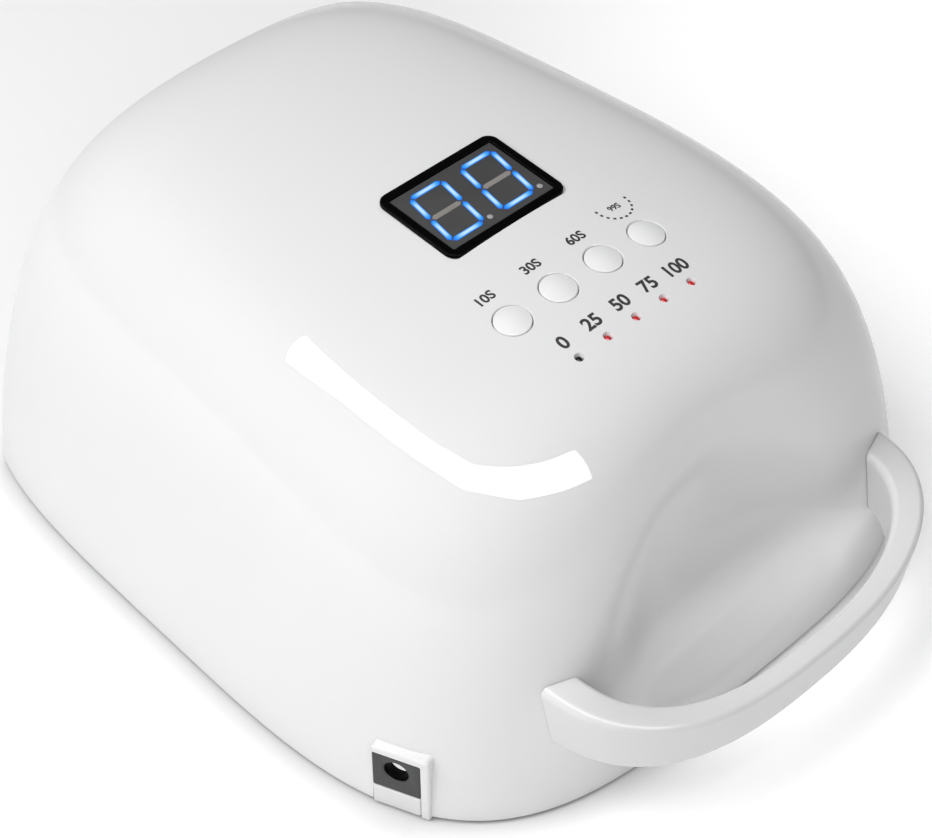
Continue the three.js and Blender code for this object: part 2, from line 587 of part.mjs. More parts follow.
base = base.add(box(HOOD_DEEP + 2, JACK_W, JACK_BOTTOM - FIT - BASE_LOW, -HOOD_DEEP / 2 - 1, 0,
  (JACK_BOTTOM - FIT + BASE_LOW) / 2, jackMatrix));
for (const [x, y] of magnetAt) {
  base = base.subtract(cylinder(MAGNET_R + 0.2, MAGNET_THICK + 0.2, x, y, BASE_LOW + REBATE - 0.01,
    null, 16));
}
for (const [x, y] of footAt) {
  base = base.subtract(cylinder(FOOT_R + 0.2, 1.9, x, y, BASE_LOW - 1, null, 18));
}
for (const [x, y] of baseScrewAt) {
  base = base.subtract(cylinder(1.6, 8, x, y, -1, null, 12)).subtract(cylinder(3, 2.9, x, y, -1, null, 14));
}
add(root, 'base_ring', geometryOf(base), WHITE);
const plateShape = roundedRect(2 * PLATE_HALF + 12, plateDeep + 6, 3);
const plate = add(root, 'base_plate', extrude(plateShape, PLATE_THICK), MIRROR);
plate.position.set(0, plateMid, BASE_LOW + 0.1);
magnetAt.forEach(([x, y], i) => {
  const magnet = add(root, `magnet_${i + 1}`,
    lathe([[0, 0], [MAGNET_R, 0], [MAGNET_R, MAGNET_THICK], [0, MAGNET_THICK]], 16), STEEL);
  magnet.position.set(x, y, BASE_LOW + REBATE + 0.1);
});
footAt.forEach(([x, y], i) => {
  const top = BASE_LOW + 0.85;
  const foot = add(root, `foot_${i + 1}`,
    lathe([[0, -FOOT], [FOOT_R - 0.5, -FOOT], [FOOT_R, -FOOT + 0.5], [FOOT_R, top], [0, top]], 18), RUBBER);
  foot.position.set(x, y, 0);
});
baseScrewAt.forEach(([x, y], i) => {
  const screw = add(root, `base_screw_${i + 1}`,
    lathe([[0, 0.4], [2.5, 0.4], [2.6, 1.8], [1.25, 1.8], [1.25, 12], [0, 12]], 14), STEEL);
  screw.position.set(x, y, 0);
});
for (const side of [-1, 1]) {
  const screw = add(root, side > 0 ? 'handle_screw_socket' : 'handle_screw_plain',
    lathe([[0, -1.9], [2.8, -1.9], [2.8, -0.15], [1.2, -0.15], [1.2, 7], [0, 7]], 14), STEEL);
  screw.rotation.x = -PI / 2;
  screw.position.set(side * LUG_X, LUG_END_Y, LUG_Z);
}

// ---------- charging socket ----------
const jackGroup = new THREE.Group();
jackGroup.name = 'charging';
jackGroup.position.set(JACK_X, JACK_Y, 0);
jackGroup.rotation.z = JACK_ANGLE;
root.add(jackGroup);
const acrossX = new THREE.Matrix4().makeRotationY(PI / 2);
let jack = box(JACK_DEEP, JACK_W, JACK_TOP - JACK_BOTTOM, -JACK_DEEP / 2 - 0.2, 0,
  (JACK_TOP + JACK_BOTTOM) / 2);
jack = jack.subtract(cylinder(JACK_HOLE_R, 11, -JACK_HOLE_Z, 0, -10, acrossX, 22));
add(jackGroup, 'socket_body', geometryOf(jack), GREY);
const pin = lathe([[0, 0], [1.0, 0], [1.0, 7], [0.6, 7.6], [0, 7.6]], 12);
pin.rotateY(PI / 2);
const pinMesh = add(jackGroup, 'socket_pin', pin, STEEL);
pinMesh.position.set(-9.9, 0, JACK_HOLE_Z);

// ---------- battery ----------
const trayParts = [box(136, 20, 1.6, 0, CELL_Y, 5.5)];
for (const x of [-67.2, 0, 67.2]) trayParts.push(box(1.6, 20, 36, x, CELL_Y, 22.7));
let tray = trayParts[0];
for (const t of trayParts.slice(1)) tray = tray.add(t);
add(root, 'battery_tray', geometryOf(tray), BLACK);
let cellCount = 0;
for (const z of CELL_ZS) {
  for (const side of [-1, 1]) {
    cellCount += 1;
    const cell = lathe([[0, -CELL_L / 2], [CELL_R - 0.6, -CELL_L / 2], [CELL_R, -CELL_L / 2 + 0.6],
      [CELL_R, CELL_L / 2 - 1.2], [CELL_R - 0.8, CELL_L / 2 - 0.8], [3, CELL_L / 2 - 0.8],
      [3, CELL_L / 2], [0, CELL_L / 2]], 20);
    cell.rotateY(PI / 2);
    const mesh = add(root, `battery_cell_${cellCount}`, cell, WRAP);
    mesh.position.set(side * (CELL_L / 2 + 1.2), CELL_Y, z);
  }
}
let driver = box(DRIVER_W, DRIVER_D, BOARD_THICK, 0, CELL_Y + 6, DRIVER_Z);
driver = driver.add(cylinder(5, 12, 36, CELL_Y - 2, DRIVER_Z + 0.5, null, 14))
  .add(box(14, 14, 8, -30, CELL_Y + 6, DRIVER_Z + 4))
  .add(box(16, 9, 6, 4, CELL_Y + 14, DRIVER_Z + 3));
add(root, 'driver_board', geometryOf(driver), BOARD);

export default root;
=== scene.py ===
import bpy
import bmesh
import math
import numpy as np
from mathutils import Matrix, Vector


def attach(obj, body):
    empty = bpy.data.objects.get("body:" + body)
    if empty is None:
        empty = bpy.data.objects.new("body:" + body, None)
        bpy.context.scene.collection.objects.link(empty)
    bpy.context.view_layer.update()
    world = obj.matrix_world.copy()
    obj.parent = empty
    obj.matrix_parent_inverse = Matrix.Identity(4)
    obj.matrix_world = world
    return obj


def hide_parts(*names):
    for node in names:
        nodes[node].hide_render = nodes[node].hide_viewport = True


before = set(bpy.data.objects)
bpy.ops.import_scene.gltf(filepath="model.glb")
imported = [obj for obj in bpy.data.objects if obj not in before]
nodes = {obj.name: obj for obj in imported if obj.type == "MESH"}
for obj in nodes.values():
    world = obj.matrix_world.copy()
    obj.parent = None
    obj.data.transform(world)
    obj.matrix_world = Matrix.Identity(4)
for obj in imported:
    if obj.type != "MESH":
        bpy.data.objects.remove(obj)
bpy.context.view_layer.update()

# Lengths below are millimetres in the lamp's own frame: z is 0 at the shell's lower edge and y is 0 at the
# crown line. +x is the charging side and +y the handle. They become metres in the shared frame in piece().
MID_Y = 27.95
FOOT = 0.8

# ---------- dome ----------
HALF_WIDTH, WIDEN = 91.5, 0.049
REAR_REACH, FRONT_REACH = 112.9, 114.3
REAR_SQUARE, FRONT_SQUARE = 3.67, 3.95
CROWN, LENGTH_FALL, FALL_FROM, CROSS_FALL = 100.6, 0.035, -57.9, 0.196
WALL_FRONT, WALL_REAR = 6.19, 9.19
SHOULDER_FRONT, SHOULDER_REAR = 1.307, 1.338
BLEND = 35.0
WALL = 2.6
FRONT_CUT, FRONT_LEAN = -79.3, 0.059
SCOOP_DEPTH, SCOOP_HALF, SCOOP_Z, SCOOP_UP, SCOOP_DOWN, SCOOP_EDGE = 9.6, 37.0, 24.0, 45.0, 15.0, 4
RIM = 0.7                      # rounding of the shell's lower and front edges


def outline(y):
    rear = y > 0
    return np.where(rear, REAR_SQUARE, FRONT_SQUARE), np.where(rear, REAR_REACH, FRONT_REACH)


def powers(y):
    share = 0.5 + 0.5 * np.tanh(y / BLEND)
    return (WALL_FRONT + (WALL_REAR - WALL_FRONT) * share,
            SHOULDER_FRONT + (SHOULDER_REAR - SHOULDER_FRONT) * share)


def crown_at(x, y):
    return (1 - LENGTH_FALL * ((y - FALL_FROM) / 100) ** 2) * (1 - CROSS_FALL * (x / 100) ** 2)


def base_ratio(x, y):
    q, reach = outline(y)
    wide = HALF_WIDTH * (1 + WIDEN * y / 100)
    return (np.abs(x / wide) ** q + np.abs(y / reach) ** q) ** (1 / q)


def surface_z(x, y):
    x, y = np.asarray(x, float), np.asarray(y, float)
    wall, shoulder = powers(y)
    return CROWN * crown_at(x, y) * np.maximum(0, 1 - base_ratio(x, y) ** wall) ** (1 / shoulder)


def scoop(x, y, z):
    up = np.where(z > SCOOP_Z, SCOOP_UP, SCOOP_DOWN)
    share = np.exp(-np.hypot(x / SCOOP_HALF, (z - SCOOP_Z) / up) ** SCOOP_EDGE)
    return np.where(y > 0, SCOOP_DEPTH * share * np.clip((y - 40) / 30, 0, 1), 0)


def field(p):
    """Negative inside the dome, zero on its outer surface."""
    x, z = p[..., 0], p[..., 2]
    y = p[..., 1] + scoop(x, p[..., 1], z)
    wall, shoulder = powers(y)
    up = z / (CROWN * crown_at(x, y))
    return np.sign(up) * np.abs(up) ** shoulder + base_ratio(x, y) ** wall - 1


def slope(p, step=0.04):
    g = np.stack([field(p + d) - field(p - d) for d in np.eye(3) * step], -1) / (2 * step)
    return g


def unit(v):
    return v / np.maximum(np.linalg.norm(v, axis=-1, keepdims=True), 1e-12)


def dome_point(ratio, a, grow=0.0):
    c, s = np.cos(a), np.sin(a)
    q, reach = outline(s)
    k = (np.abs(c) ** q + np.abs(s) ** q) ** (-1 / q)
    y = ratio * k * s * (reach + grow)
    x = ratio * k * c * (HALF_WIDTH + grow) * (1 + WIDEN * y / 100)
    wall, shoulder = powers(y)
    z = (CROWN + grow) * crown_at(x, y) * np.maximum(0, 1 - ratio ** wall) ** (1 / shoulder)
    return np.stack([x, y - scoop(x, y, z), z], -1)


def meridians(columns, grow=0.0):
    """Points from the bench to the crown along each meridian, finely spaced, with the length up to each."""
    a = np.arange(columns) * 2 * math.pi / columns
    a = a + 0.3 * np.cos(a)
    t = np.sin(np.linspace(0, 1, 700) * math.pi / 2)
    ratio = np.concatenate([(1 - t ** SHOULDER_REAR) ** (1 / WALL_REAR), np.linspace(0, 0.995, 500)])
    ratio = np.unique(ratio.round(9))[::-1]
    p = dome_point(ratio[None, :], a[:, None], grow)
    along = np.concatenate([np.zeros((columns, 1)), np.cumsum(np.linalg.norm(np.diff(p, axis=1), axis=-1), 1)], 1)
    return p, along


def sample(p, along, shares, extra=0.0):
    """Points at extra + share * (rest of the length) along each meridian; shares below 0 are plain lengths."""
    out = np.empty((p.shape[0], len(shares), 3))
    for i in range(p.shape[0]):
        want = np.array([-s if s < 0 else extra + s * (along[i, -1] - extra) for s in shares])
        for k in range(3):
            out[i, :, k] = np.interp(want, along[i], p[i, :, k])
    return out


# ---------- mesh helpers: a part is (vertices, faces) ----------
def grid_faces(rows, columns, start=0, wrap=True):
    faces = []
    for r in range(rows - 1):
        for c in range(columns if wrap else columns - 1):
            d = (c + 1) % columns
            faces.append((start + r * columns + c, start + r * columns + d,
                          start + (r + 1) * columns + d, start + (r + 1) * columns + c))
    return faces


def loft(rings, caps=True, closed=False):
    """Rings of equal count joined into one body; closed joins the last ring to the first."""
    rings = [np.asarray(r, float) for r in rings]
    n = len(rings[0])
    verts = np.concatenate(rings)
    faces = grid_faces(len(rings), n)
    if closed:
        last = (len(rings) - 1) * n
        faces += [(last + c, last + (c + 1) % n, (c + 1) % n, c) for c in range(n)]
    elif caps:
        faces.append(tuple(range(n))[::-1])
        faces.append(tuple((len(rings) - 1) * n + c for c in range(n)))
    return outward((verts, faces))


def lathe(profile, sides=48):
    """Body turned about z from (radius, height) points, the two ends on the axis."""
    a = np.arange(sides) * 2 * math.pi / sides
    rings = [np.stack([r * np.cos(a), r * np.sin(a), np.full(sides, float(z))], -1) for r, z in profile[1:-1]]
    verts = np.concatenate(rings + [[[0, 0, profile[0][1]], [0, 0, profile[-1][1]]]])
    n = len(rings)
    faces = grid_faces(n, sides)
    for c in range(sides):
        d = (c + 1) % sides
        faces.append((n * sides, d, c))
        faces.append((n * sides + 1, (n - 1) * sides + c, (n - 1) * sides + d))
    return outward((verts, faces))


def arc(cx, cz, r, a0, a1, steps=6):
    """Profile points of a rounded corner, angles in degrees."""
    return [(cx + r * math.cos(math.radians(a)), cz + r * math.sin(math.radians(a)))
            for a in np.linspace(a0, a1, steps + 1)]


def outward(part):
    verts, faces = part
    volume = 0.0
    for f in faces:
        for i in range(1, len(f) - 1):
            volume += np.dot(verts[f[0]], np.cross(verts[f[i]], verts[f[i + 1]]))
    return (verts, [f[::-1] for f in faces]) if volume < 0 else part


def moved(part, matrix):
    m = np.array(matrix)
    return part[0] @ m[:3, :3].T + m[:3, 3], part[1]


def merged(parts):
    verts, faces, start = [], [], 0
    for v, f in parts:
        verts.append(v)
        faces += [tuple(i + start for i in face) for face in f]
        start += len(v)
    return np.concatenate(verts), faces


def round_rect(w, h, r, steps=6, inset=0.0):
    r = max(r - inset, 0.02)
    a, b = w / 2 - inset - r, h / 2 - inset - r
    points = []
    for cx, cy, start in [(a, b, 0), (-a, b, 90), (-a, -b, 180), (a, -b, 270)]:
        points += arc(cx, cy, r, start, start + 90, steps)
    return np.array(points)


def at_z(points, z):
    points = np.asarray(points, float)
    return np.column_stack([points, np.full(len(points), float(z))])


def soft_edges(low, high, r, steps=4):
    """(inset, z) pairs of a slab's side with both edges rounded."""
    side = [(r - r * math.sin(a), low + r - r * math.cos(a)) for a in np.linspace(0, math.pi / 2, steps + 1)]
    return side + [(i, low + high - z) for i, z in side[::-1]]


def slab(w, h, corner, low, high, r=0.3, steps=6, x=0.0, y=0.0):
    """Rounded rectangular block with rounded edges."""
    rings = [at_z(round_rect(w, h, corner, steps, i), z) + [x, y, 0] for i, z in soft_edges(low, high, r)]
    return loft(rings)


def ring_slab(w, h, corner, w2, h2, corner2, low, high, r=0.25, steps=8):
    """Frame with a rectangular window: the outside stack up, then the inside stack down."""
    edges = soft_edges(low, high, r)
    outside = [at_z(round_rect(w, h, corner, steps, i), z) for i, z in edges]
    inside = [at_z(round_rect(w2, h2, corner2, steps, -i), z) for i, z in edges[::-1]]
    return loft(outside + inside, closed=True)


def to_mesh(part, name="work"):
    mesh = bpy.data.meshes.new(name)
    mesh.from_pydata([tuple(v) for v in part[0]], [], [tuple(int(i) for i in f) for f in part[1]])
    mesh.validate()
    mesh.update()
    return mesh


def to_part(mesh):
    verts = np.zeros(len(mesh.vertices) * 3)
    mesh.vertices.foreach_get("co", verts)
    return verts.reshape(-1, 3), [tuple(p.vertices) for p in mesh.polygons]


def boolean(part, cutter, how="DIFFERENCE"):
    a = bpy.data.objects.new("work_a", to_mesh(part))
    b = bpy.data.objects.new("work_b", to_mesh(cutter))
    for o in (a, b):
        bpy.context.scene.collection.objects.link(o)
    m = a.modifiers.new("cut", "BOOLEAN")
    m.object, m.operation, m.solver = b, how, "EXACT"
    made = bpy.data.meshes.new_from_object(a.evaluated_get(bpy.context.evaluated_depsgraph_get()))
    out = to_part(made)
    for o in (a, b):
        data = o.data
        bpy.data.objects.remove(o)
        bpy.data.meshes.remove(data)
    bpy.data.meshes.remove(made)
    return out


def piece(name, part, look, body, replaces=(), angle=35.0, dome_normals=False, weld=0.0):
    """One finished piece: welded, shaded smooth by angle, in metres, riding on its body."""
    mesh = to_mesh(part, name)
    if weld:
        bm = bmesh.new()
        bm.from_mesh(mesh)
        bmesh.ops.remove_doubles(bm, verts=bm.verts, dist=weld)
        bmesh.ops.dissolve_degenerate(bm, edges=bm.edges, dist=weld)
        bm.to_mesh(mesh)
        bm.free()
    mesh.shade_smooth()
    mesh.set_sharp_from_angle(angle=math.radians(angle))
    if dome_normals:
        set_dome_normals(mesh)
    mesh.transform(Matrix.Scale(0.001, 4) @ Matrix.Translation((0, -MID_Y, FOOT)))
    for m in look if isinstance(look, (list, tuple)) else [look]:
        mesh.materials.append(m)
    o = bpy.data.objects.new(name, mesh)
    bpy.context.scene.collection.objects.link(o)
    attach(o, body)
    if replaces:
        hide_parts(*replaces)
    return o


def set_dome_normals(mesh):
    """Corners that lie on the dome take the dome's own normal, so that reflections run smoothly."""
    corners = len(mesh.loops)
    where = np.zeros(corners, int)
    mesh.loops.foreach_get("vertex_index", where)
    co = np.zeros(len(mesh.vertices) * 3)
    mesh.vertices.foreach_get("co", co)
    co = co.reshape(-1, 3)
    g = slope(co)
    size = np.linalg.norm(g, axis=-1)
    off = field(co) / np.maximum(size, 1e-9)
    normal = g / np.maximum(size, 1e-9)[:, None]
    own = np.zeros(corners * 3)
    mesh.corner_normals.foreach_get("vector", own)
    own = own.reshape(-1, 3)
    face = np.zeros(len(mesh.polygons) * 3)
    mesh.polygons.foreach_get("normal", face)
    totals = np.zeros(len(mesh.polygons), int)
    mesh.polygons.foreach_get("loop_total", totals)
    face = np.repeat(face.reshape(-1, 3), totals, axis=0)
    n = normal[where]
    use = (np.abs(off[where]) < 0.06) & (np.einsum("ij,ij->i", n, face) > 0.93) & (co[where, 2] > 1.2)
    own[use] = n[use]
    mesh.normals_split_custom_set(own.tolist())


# ---------- materials ----------
def material(name, colour, rough, metal=0.0, vary=0.03, scale=60.0, bump=0.0, coat=0.0, coat_rough=0.05,
             ior=1.5, glow=None, glow_power=0.0, specular=0.5):
    """Principled surface whose colour and roughness drift a little with a fine noise."""
    m = bpy.data.materials.new(name)
    m.use_nodes = True
    t = m.node_tree
    n, l = t.nodes, t.links
    surface = n["Principled BSDF"]
    where = n.new("ShaderNodeTexCoord")
    noise = n.new("ShaderNodeTexNoise")
    noise.inputs["Scale"].default_value = scale
    noise.inputs["Detail"].default_value = 3.0
    l.new(where.outputs["Object"], noise.inputs["Vector"])
    ramp = n.new("ShaderNodeValToRGB")
    ramp.color_ramp.elements[0].position, ramp.color_ramp.elements[1].position = 0.3, 0.7
    ramp.color_ramp.elements[0].color = (*[c * (1 - vary) for c in colour], 1)
    ramp.color_ramp.elements[1].color = (*[min(1.0, c * (1 + vary)) for c in colour], 1)
    l.new(noise.outputs["Fac"], ramp.inputs["Fac"])
    l.new(ramp.outputs["Color"], surface.inputs["Base Color"])
    spread = n.new("ShaderNodeMapRange")
    spread.inputs["To Min"].default_value = rough * 0.9
    spread.inputs["To Max"].default_value = min(1.0, rough * 1.1)
    l.new(noise.outputs["Fac"], spread.inputs["Value"])
    l.new(spread.outputs["Result"], surface.inputs["Roughness"])
    surface.inputs["Metallic"].default_value = metal
    surface.inputs["IOR"].default_value = ior
    surface.inputs["Specular IOR Level"].default_value = specular
    surface.inputs["Coat Weight"].default_value = coat
    surface.inputs["Coat Roughness"].default_value = coat_rough
    if bump:
        grain = n.new("ShaderNodeTexNoise")
        grain.inputs["Scale"].default_value = scale * 12
        l.new(where.outputs["Object"], grain.inputs["Vector"])
        b = n.new("ShaderNodeBump")
        b.inputs["Strength"].default_value = bump
        b.inputs["Distance"].default_value = 0.0001
        l.new(grain.outputs["Fac"], b.inputs["Height"])
        l.new(b.outputs["Normal"], surface.inputs["Normal"])
    if glow:
        l.new(ramp.outputs["Color"], surface.inputs["Emission Color"])
        surface.inputs["Emission Strength"].default_value = glow_power
    return m


SHELL_GREY = (0.76, 0.76, 0.765)
white = material("white_gloss", SHELL_GREY, 0.6, vary=0.006, scale=25, coat=0.7, coat_rough=0.012, specular=0.0)
# The handle is the shell's white plastic, set a darker grey as painted shade.
handle_white_painted_shade = material("handle_white_painted_shade", (0.69, 0.69, 0.695), 0.5, vary=0.006, scale=25, coat=0.3,
                        coat_rough=0.12, specular=0.15)
white_key = material("white_key", (0.80, 0.80, 0.805), 0.5, vary=0.008, scale=60, coat=0.3, coat_rough=0.1,
                     specular=0.1)
white_base = material("white_base", (0.72, 0.72, 0.72), 0.45, vary=0.015, scale=60, bump=0.15)
black_gloss = material("black_gloss", (0.0015, 0.0015, 0.0016), 0.35, vary=0.1, scale=90, specular=0.06)
display_dark = material("display_dark", (0.060, 0.060, 0.061), 0.55, vary=0.05, scale=120, bump=0.05, specular=0.12)
segment_idle = material("segment_idle", (0.24, 0.225, 0.21), 0.5, vary=0.06, scale=200)
dot_idle = material("dot_idle", (0.33, 0.33, 0.33), 0.5, vary=0.06, scale=200)
black_plastic = material("black_plastic", (0.014, 0.014, 0.015), 0.4, vary=0.1, scale=100)
socket_grey = material("socket_grey", (0.072, 0.072, 0.074), 0.5, vary=0.05, scale=120, bump=0.1, specular=0.15)
red_lens = material("red_lens", (0.42, 0.003, 0.010), 0.3, vary=0.1, scale=300, coat=0.2, glow=True,
                    glow_power=0.2)
dark_lens = material("dark_lens", (0.004, 0.004, 0.005), 0.3, vary=0.1, scale=300, coat=0.1, specular=0.2)
print_dark = material("print_dark", (0.022, 0.022, 0.024), 0.6, vary=0.1, scale=400)
steel = material("steel", (0.72, 0.73, 0.74), 0.22, metal=1.0, vary=0.05, scale=120, bump=0.05)
# The contact ring's steel also glows, though it is no lamp: a painted glint inside the socket.
contact_painted_glint = material("contact_painted_glint", (0.93, 0.93, 0.93), 0.3, metal=1.0, vary=0.03, scale=200, glow=True, glow_power=0.9)
mirror = material("mirror", (0.86, 0.87, 0.88), 0.07, metal=1.0, vary=0.02, scale=40)
foil = material("foil", (0.80, 0.81, 0.83), 0.16, metal=1.0, vary=0.04, scale=50, bump=0.05)
light_board = material("light_board", (0.80, 0.79, 0.74), 0.5, vary=0.04, scale=80, bump=0.1)
bead_lens = material("bead_lens", (0.75, 0.74, 0.55), 0.12, vary=0.05, scale=300, coat=0.8)
eye_clear = material("eye_clear", (0.55, 0.58, 0.62), 0.1, vary=0.05, scale=300, coat=0.8)
rubber = material("rubber", (0.018, 0.018, 0.019), 0.85, vary=0.15, scale=150, bump=0.4)
board_green = material("board_green", (0.015, 0.12, 0.045), 0.45, vary=0.12, scale=120, bump=0.2)
cell_blue = material("cell_blue", (0.03, 0.16, 0.42), 0.35, vary=0.05, scale=80)


def lit_material():
    """Lit segment: near white in the middle of each bar and saturated blue towards its outline."""
    m = material("segment_lit", (0.008, 0.05, 0.25), 0.3, vary=0.05, scale=200, specular=0.1)
    n, l = m.node_tree.nodes, m.node_tree.links
    heat = n.new("ShaderNodeAttribute")
    heat.attribute_name = "segment_glow"
    ramp = n.new("ShaderNodeValToRGB")
    e = ramp.color_ramp.elements
    e[0].position, e[0].color = 0.0, (0.0, 0.10, 0.62, 1)
    e[1].position, e[1].color = 1.0, (0.72, 0.93, 1.0, 1)
    for at, colour in [(0.22, (0.012, 0.25, 0.98, 1)), (0.55, (0.13, 0.50, 1.0, 1))]:
        new = e.new(at)
        new.color = colour
    l.new(heat.outputs["Fac"], ramp.inputs["Fac"])
    l.new(ramp.outputs["Color"], n["Principled BSDF"].inputs["Emission Color"])
    n["Principled BSDF"].inputs["Emission Strength"].default_value = 0.85
    return m


segment_lit = lit_material()

# CAD nodes that stay as they are: inner pieces, each with its own procedural look
for name, o in nodes.items():
    if name.startswith("battery_cell"):
        look = cell_blue
    elif name.startswith(("board_screw", "handle_screw", "base_screw", "magnet", "socket_pin")):
        look = steel
    elif name in ("control_board", "driver_board"):
        look = board_green
    elif name.startswith(("switch", "battery_tray")):
        look = black_plastic
    else:
        look = white_base
    o.data.materials.clear()
    o.data.materials.append(look)


# ---------- top shell ----------
def fine_dome(columns, rows, inner_step, round_edge):
    p, along = meridians(columns)
    turns = np.linspace(math.pi / 2, 0, 6)
    lengths = [-(RIM - RIM * math.sin(t)) - 1e-9 for t in turns]
    outer = sample(p, along, lengths + list(np.linspace(0, 1, rows)[1:-1]), RIM)
    normal = unit(slope(outer + [0, 0, 1e-3]))
    inner_rows = list(range(5, outer.shape[1], inner_step))
    inner = outer[:, inner_rows] - WALL * normal[:, inner_rows]
    inward = np.array([RIM - RIM * math.cos(t) for t in turns])
    level = normal[:, :6].copy()
    level[..., 2] = 0
    level = unit(level)
    flat_inner = outer[:, 0] - WALL * level[:, 0]
    outer[:, :6] -= level * inward[None, :, None]
    flat_inner[:, 2] = 0.0
    rows_out = [outer[:, i] for i in range(outer.shape[1])][::-1]
    rows_in = [flat_inner] + [inner[:, i] for i in range(inner.shape[1])]
    verts = np.concatenate(rows_out + rows_in)
    n = len(rows_out) + len(rows_in)
    faces = grid_faces(n, columns)
    top = len(verts)
    apex = np.array([[0, 0, CROWN * crown_at(0.0, 0.0)], [0, 0, CROWN * crown_at(0.0, 0.0) - WALL]])
    verts = np.concatenate([verts, apex])
    for c in range(columns):
        d = (c + 1) % columns
        faces.append((top, d, c))
        faces.append((top + 1, (n - 1) * columns + c, (n - 1) * columns + d))
    return outward((verts, faces))


def front_normal():
    return np.array([0.0, -1.0, FRONT_LEAN]) / math.hypot(1, FRONT_LEAN)


def cut_front(part, setback=0.0, rounding=RIM):
    """Cuts the part at the leaning front plane and rounds the outer and inner edges of the cut."""
    mesh = to_mesh(part)
    bm = bmesh.new()
    bm.from_mesh(mesh)
    bpy.data.meshes.remove(mesh)
    no = front_normal()
    base = np.array([0.0, FRONT_CUT + setback, 0.0])
    depths = [rounding - rounding * math.sin(a) for a in np.linspace(0, math.pi / 2, 6)]
    for depth in depths:
        near = [v for v in bm.verts if abs((np.array(v.co) - base) @ no + depth) < 12]
        geom = set(near) | {e for v in near for e in v.link_edges} | {f for v in near for f in v.link_faces}
        bmesh.ops.bisect_plane(bm, geom=list(geom), dist=1e-4, plane_co=base - no * depth, plane_no=no)
    gone = [v for v in bm.verts if (np.array(v.co) - base) @ no > 1e-3]
    bmesh.ops.delete(bm, geom=gone, context="VERTS")
    near = [v for v in bm.verts if -(np.array(v.co) - base) @ no < rounding - 1e-4]
    co = np.array([v.co for v in near])
    g = slope(co + [0, 0, 1e-3])
    size = np.linalg.norm(g, axis=1)
    off = field(co + [0, 0, 1e-3]) / size
    normal = g / size[:, None]
    normal -= (normal @ no)[:, None] * no
    normal = unit(normal)
    depth = np.clip(-(co - base) @ no, 0, rounding)
    inward = rounding - np.sqrt(np.maximum(0, rounding ** 2 - (rounding - depth) ** 2))
    way = np.where(off > -WALL / 2, -1.0, 1.0)
    for v, p, nn, i, w in zip(near, co, normal, inward, way):
        v.co = Vector(p + nn * i * w)
    edges = [e for e in bm.edges if e.is_boundary]
    bmesh.ops.triangle_fill(bm, use_beauty=True, use_dissolve=False, edges=edges)
    out = bpy.data.meshes.new("front")
    bm.to_mesh(out)
    bm.free()
    part = to_part(out)
    bpy.data.meshes.remove(out)
    return part


PANEL_TILT = math.radians(4.4)
PANEL_Y = 54.2
panel = Matrix.Translation((0, PANEL_Y, float(surface_z(0, PANEL_Y)))) @ Matrix.Rotation(-PANEL_TILT, 4, "X")
panel_back = panel.inverted()


def on_panel(x, y):
    return panel_back @ Vector((x, y, float(surface_z(x, y))))


def local_slope(x, y):
    """Slope of the surface across x and y in panel coordinates."""
    a, b = on_panel(x - 1, y), on_panel(x + 1, y)
    c, d = on_panel(x, y - 1), on_panel(x, y + 1)
    return (b.z - a.z) / (b.x - a.x), (d.z - c.z) / (d.y - c.y)


def sheared(profile, x, y, sides=48):
    """Body turned about the panel normal at (x, y); profile points are (radius, height, share of the slope)."""
    at = on_panel(x, y)
    sx, sy = local_slope(x, y)
    a = np.arange(sides) * 2 * math.pi / sides
    rings = []
    for r, h, share in profile[1:-1]:
        px, py = r * np.cos(a), r * np.sin(a)
        rings.append(np.stack([at.x + px, at.y + py, at.z + h + share * (sx * px + sy * py)], -1))
    verts = np.concatenate(rings + [[[at.x, at.y, at.z + profile[0][1]], [at.x, at.y, at.z + profile[-1][1]]]])
    n = len(rings)
    faces = grid_faces(n, sides)
    for c in range(sides):
        d = (c + 1) % sides
        faces.append((n * sides, d, c))
        faces.append((n * sides + 1, (n - 1) * sides + c, (n - 1) * sides + d))
    return moved(outward((verts, faces)), panel)


BUTTONS = [("10s", 22.2), ("30s", 7.4), ("60s", -7.4), ("99s", -22.2)]
BUTTON_R, BUTTON_HOLE_R = 4.5, 4.75
LEVEL_Y, LEVEL_XS = 71.7, [18.6, 9.3, 0.0, -9.3, -18.6]
LEVEL_R, LEVEL_HOLE_R = 0.95, 1.15
DISPLAY_Y, DISPLAY_W, DISPLAY_H, DISPLAY_CORNER = 18.2, 37.9, 27.1, 3.0
FACE_W, FACE_H = 33.2, 22.1
JACK_W, JACK_BOTTOM, JACK_TOP, JACK_HOLE_Z, JACK_HOLE_R = 12.2, 6.4, 18.0, 13.2, 3.15
HOOD_W, HOOD_SHIFT, HOOD_TOP, HOOD_DEEP = 14.85, 1.075, 20.2, 13.4
jack = Matrix.Translation((86.6, 81.2, 0)) @ Matrix.Rotation(math.radians(22), 4, "Z")
stand = Matrix(((0, 0, 1, 0), (1, 0, 0, 0), (0, 1, 0, 0), (0, 0, 0, 1)))   # drawn in x,y then stood to face +X


def facing_out(part):
    """A part drawn flat with its front at z = 0 becomes a part of the socket group facing outward."""
    return moved(moved(part, stand), jack)


display_at = on_panel(0, DISPLAY_Y)
display = panel @ Matrix.Translation(display_at)

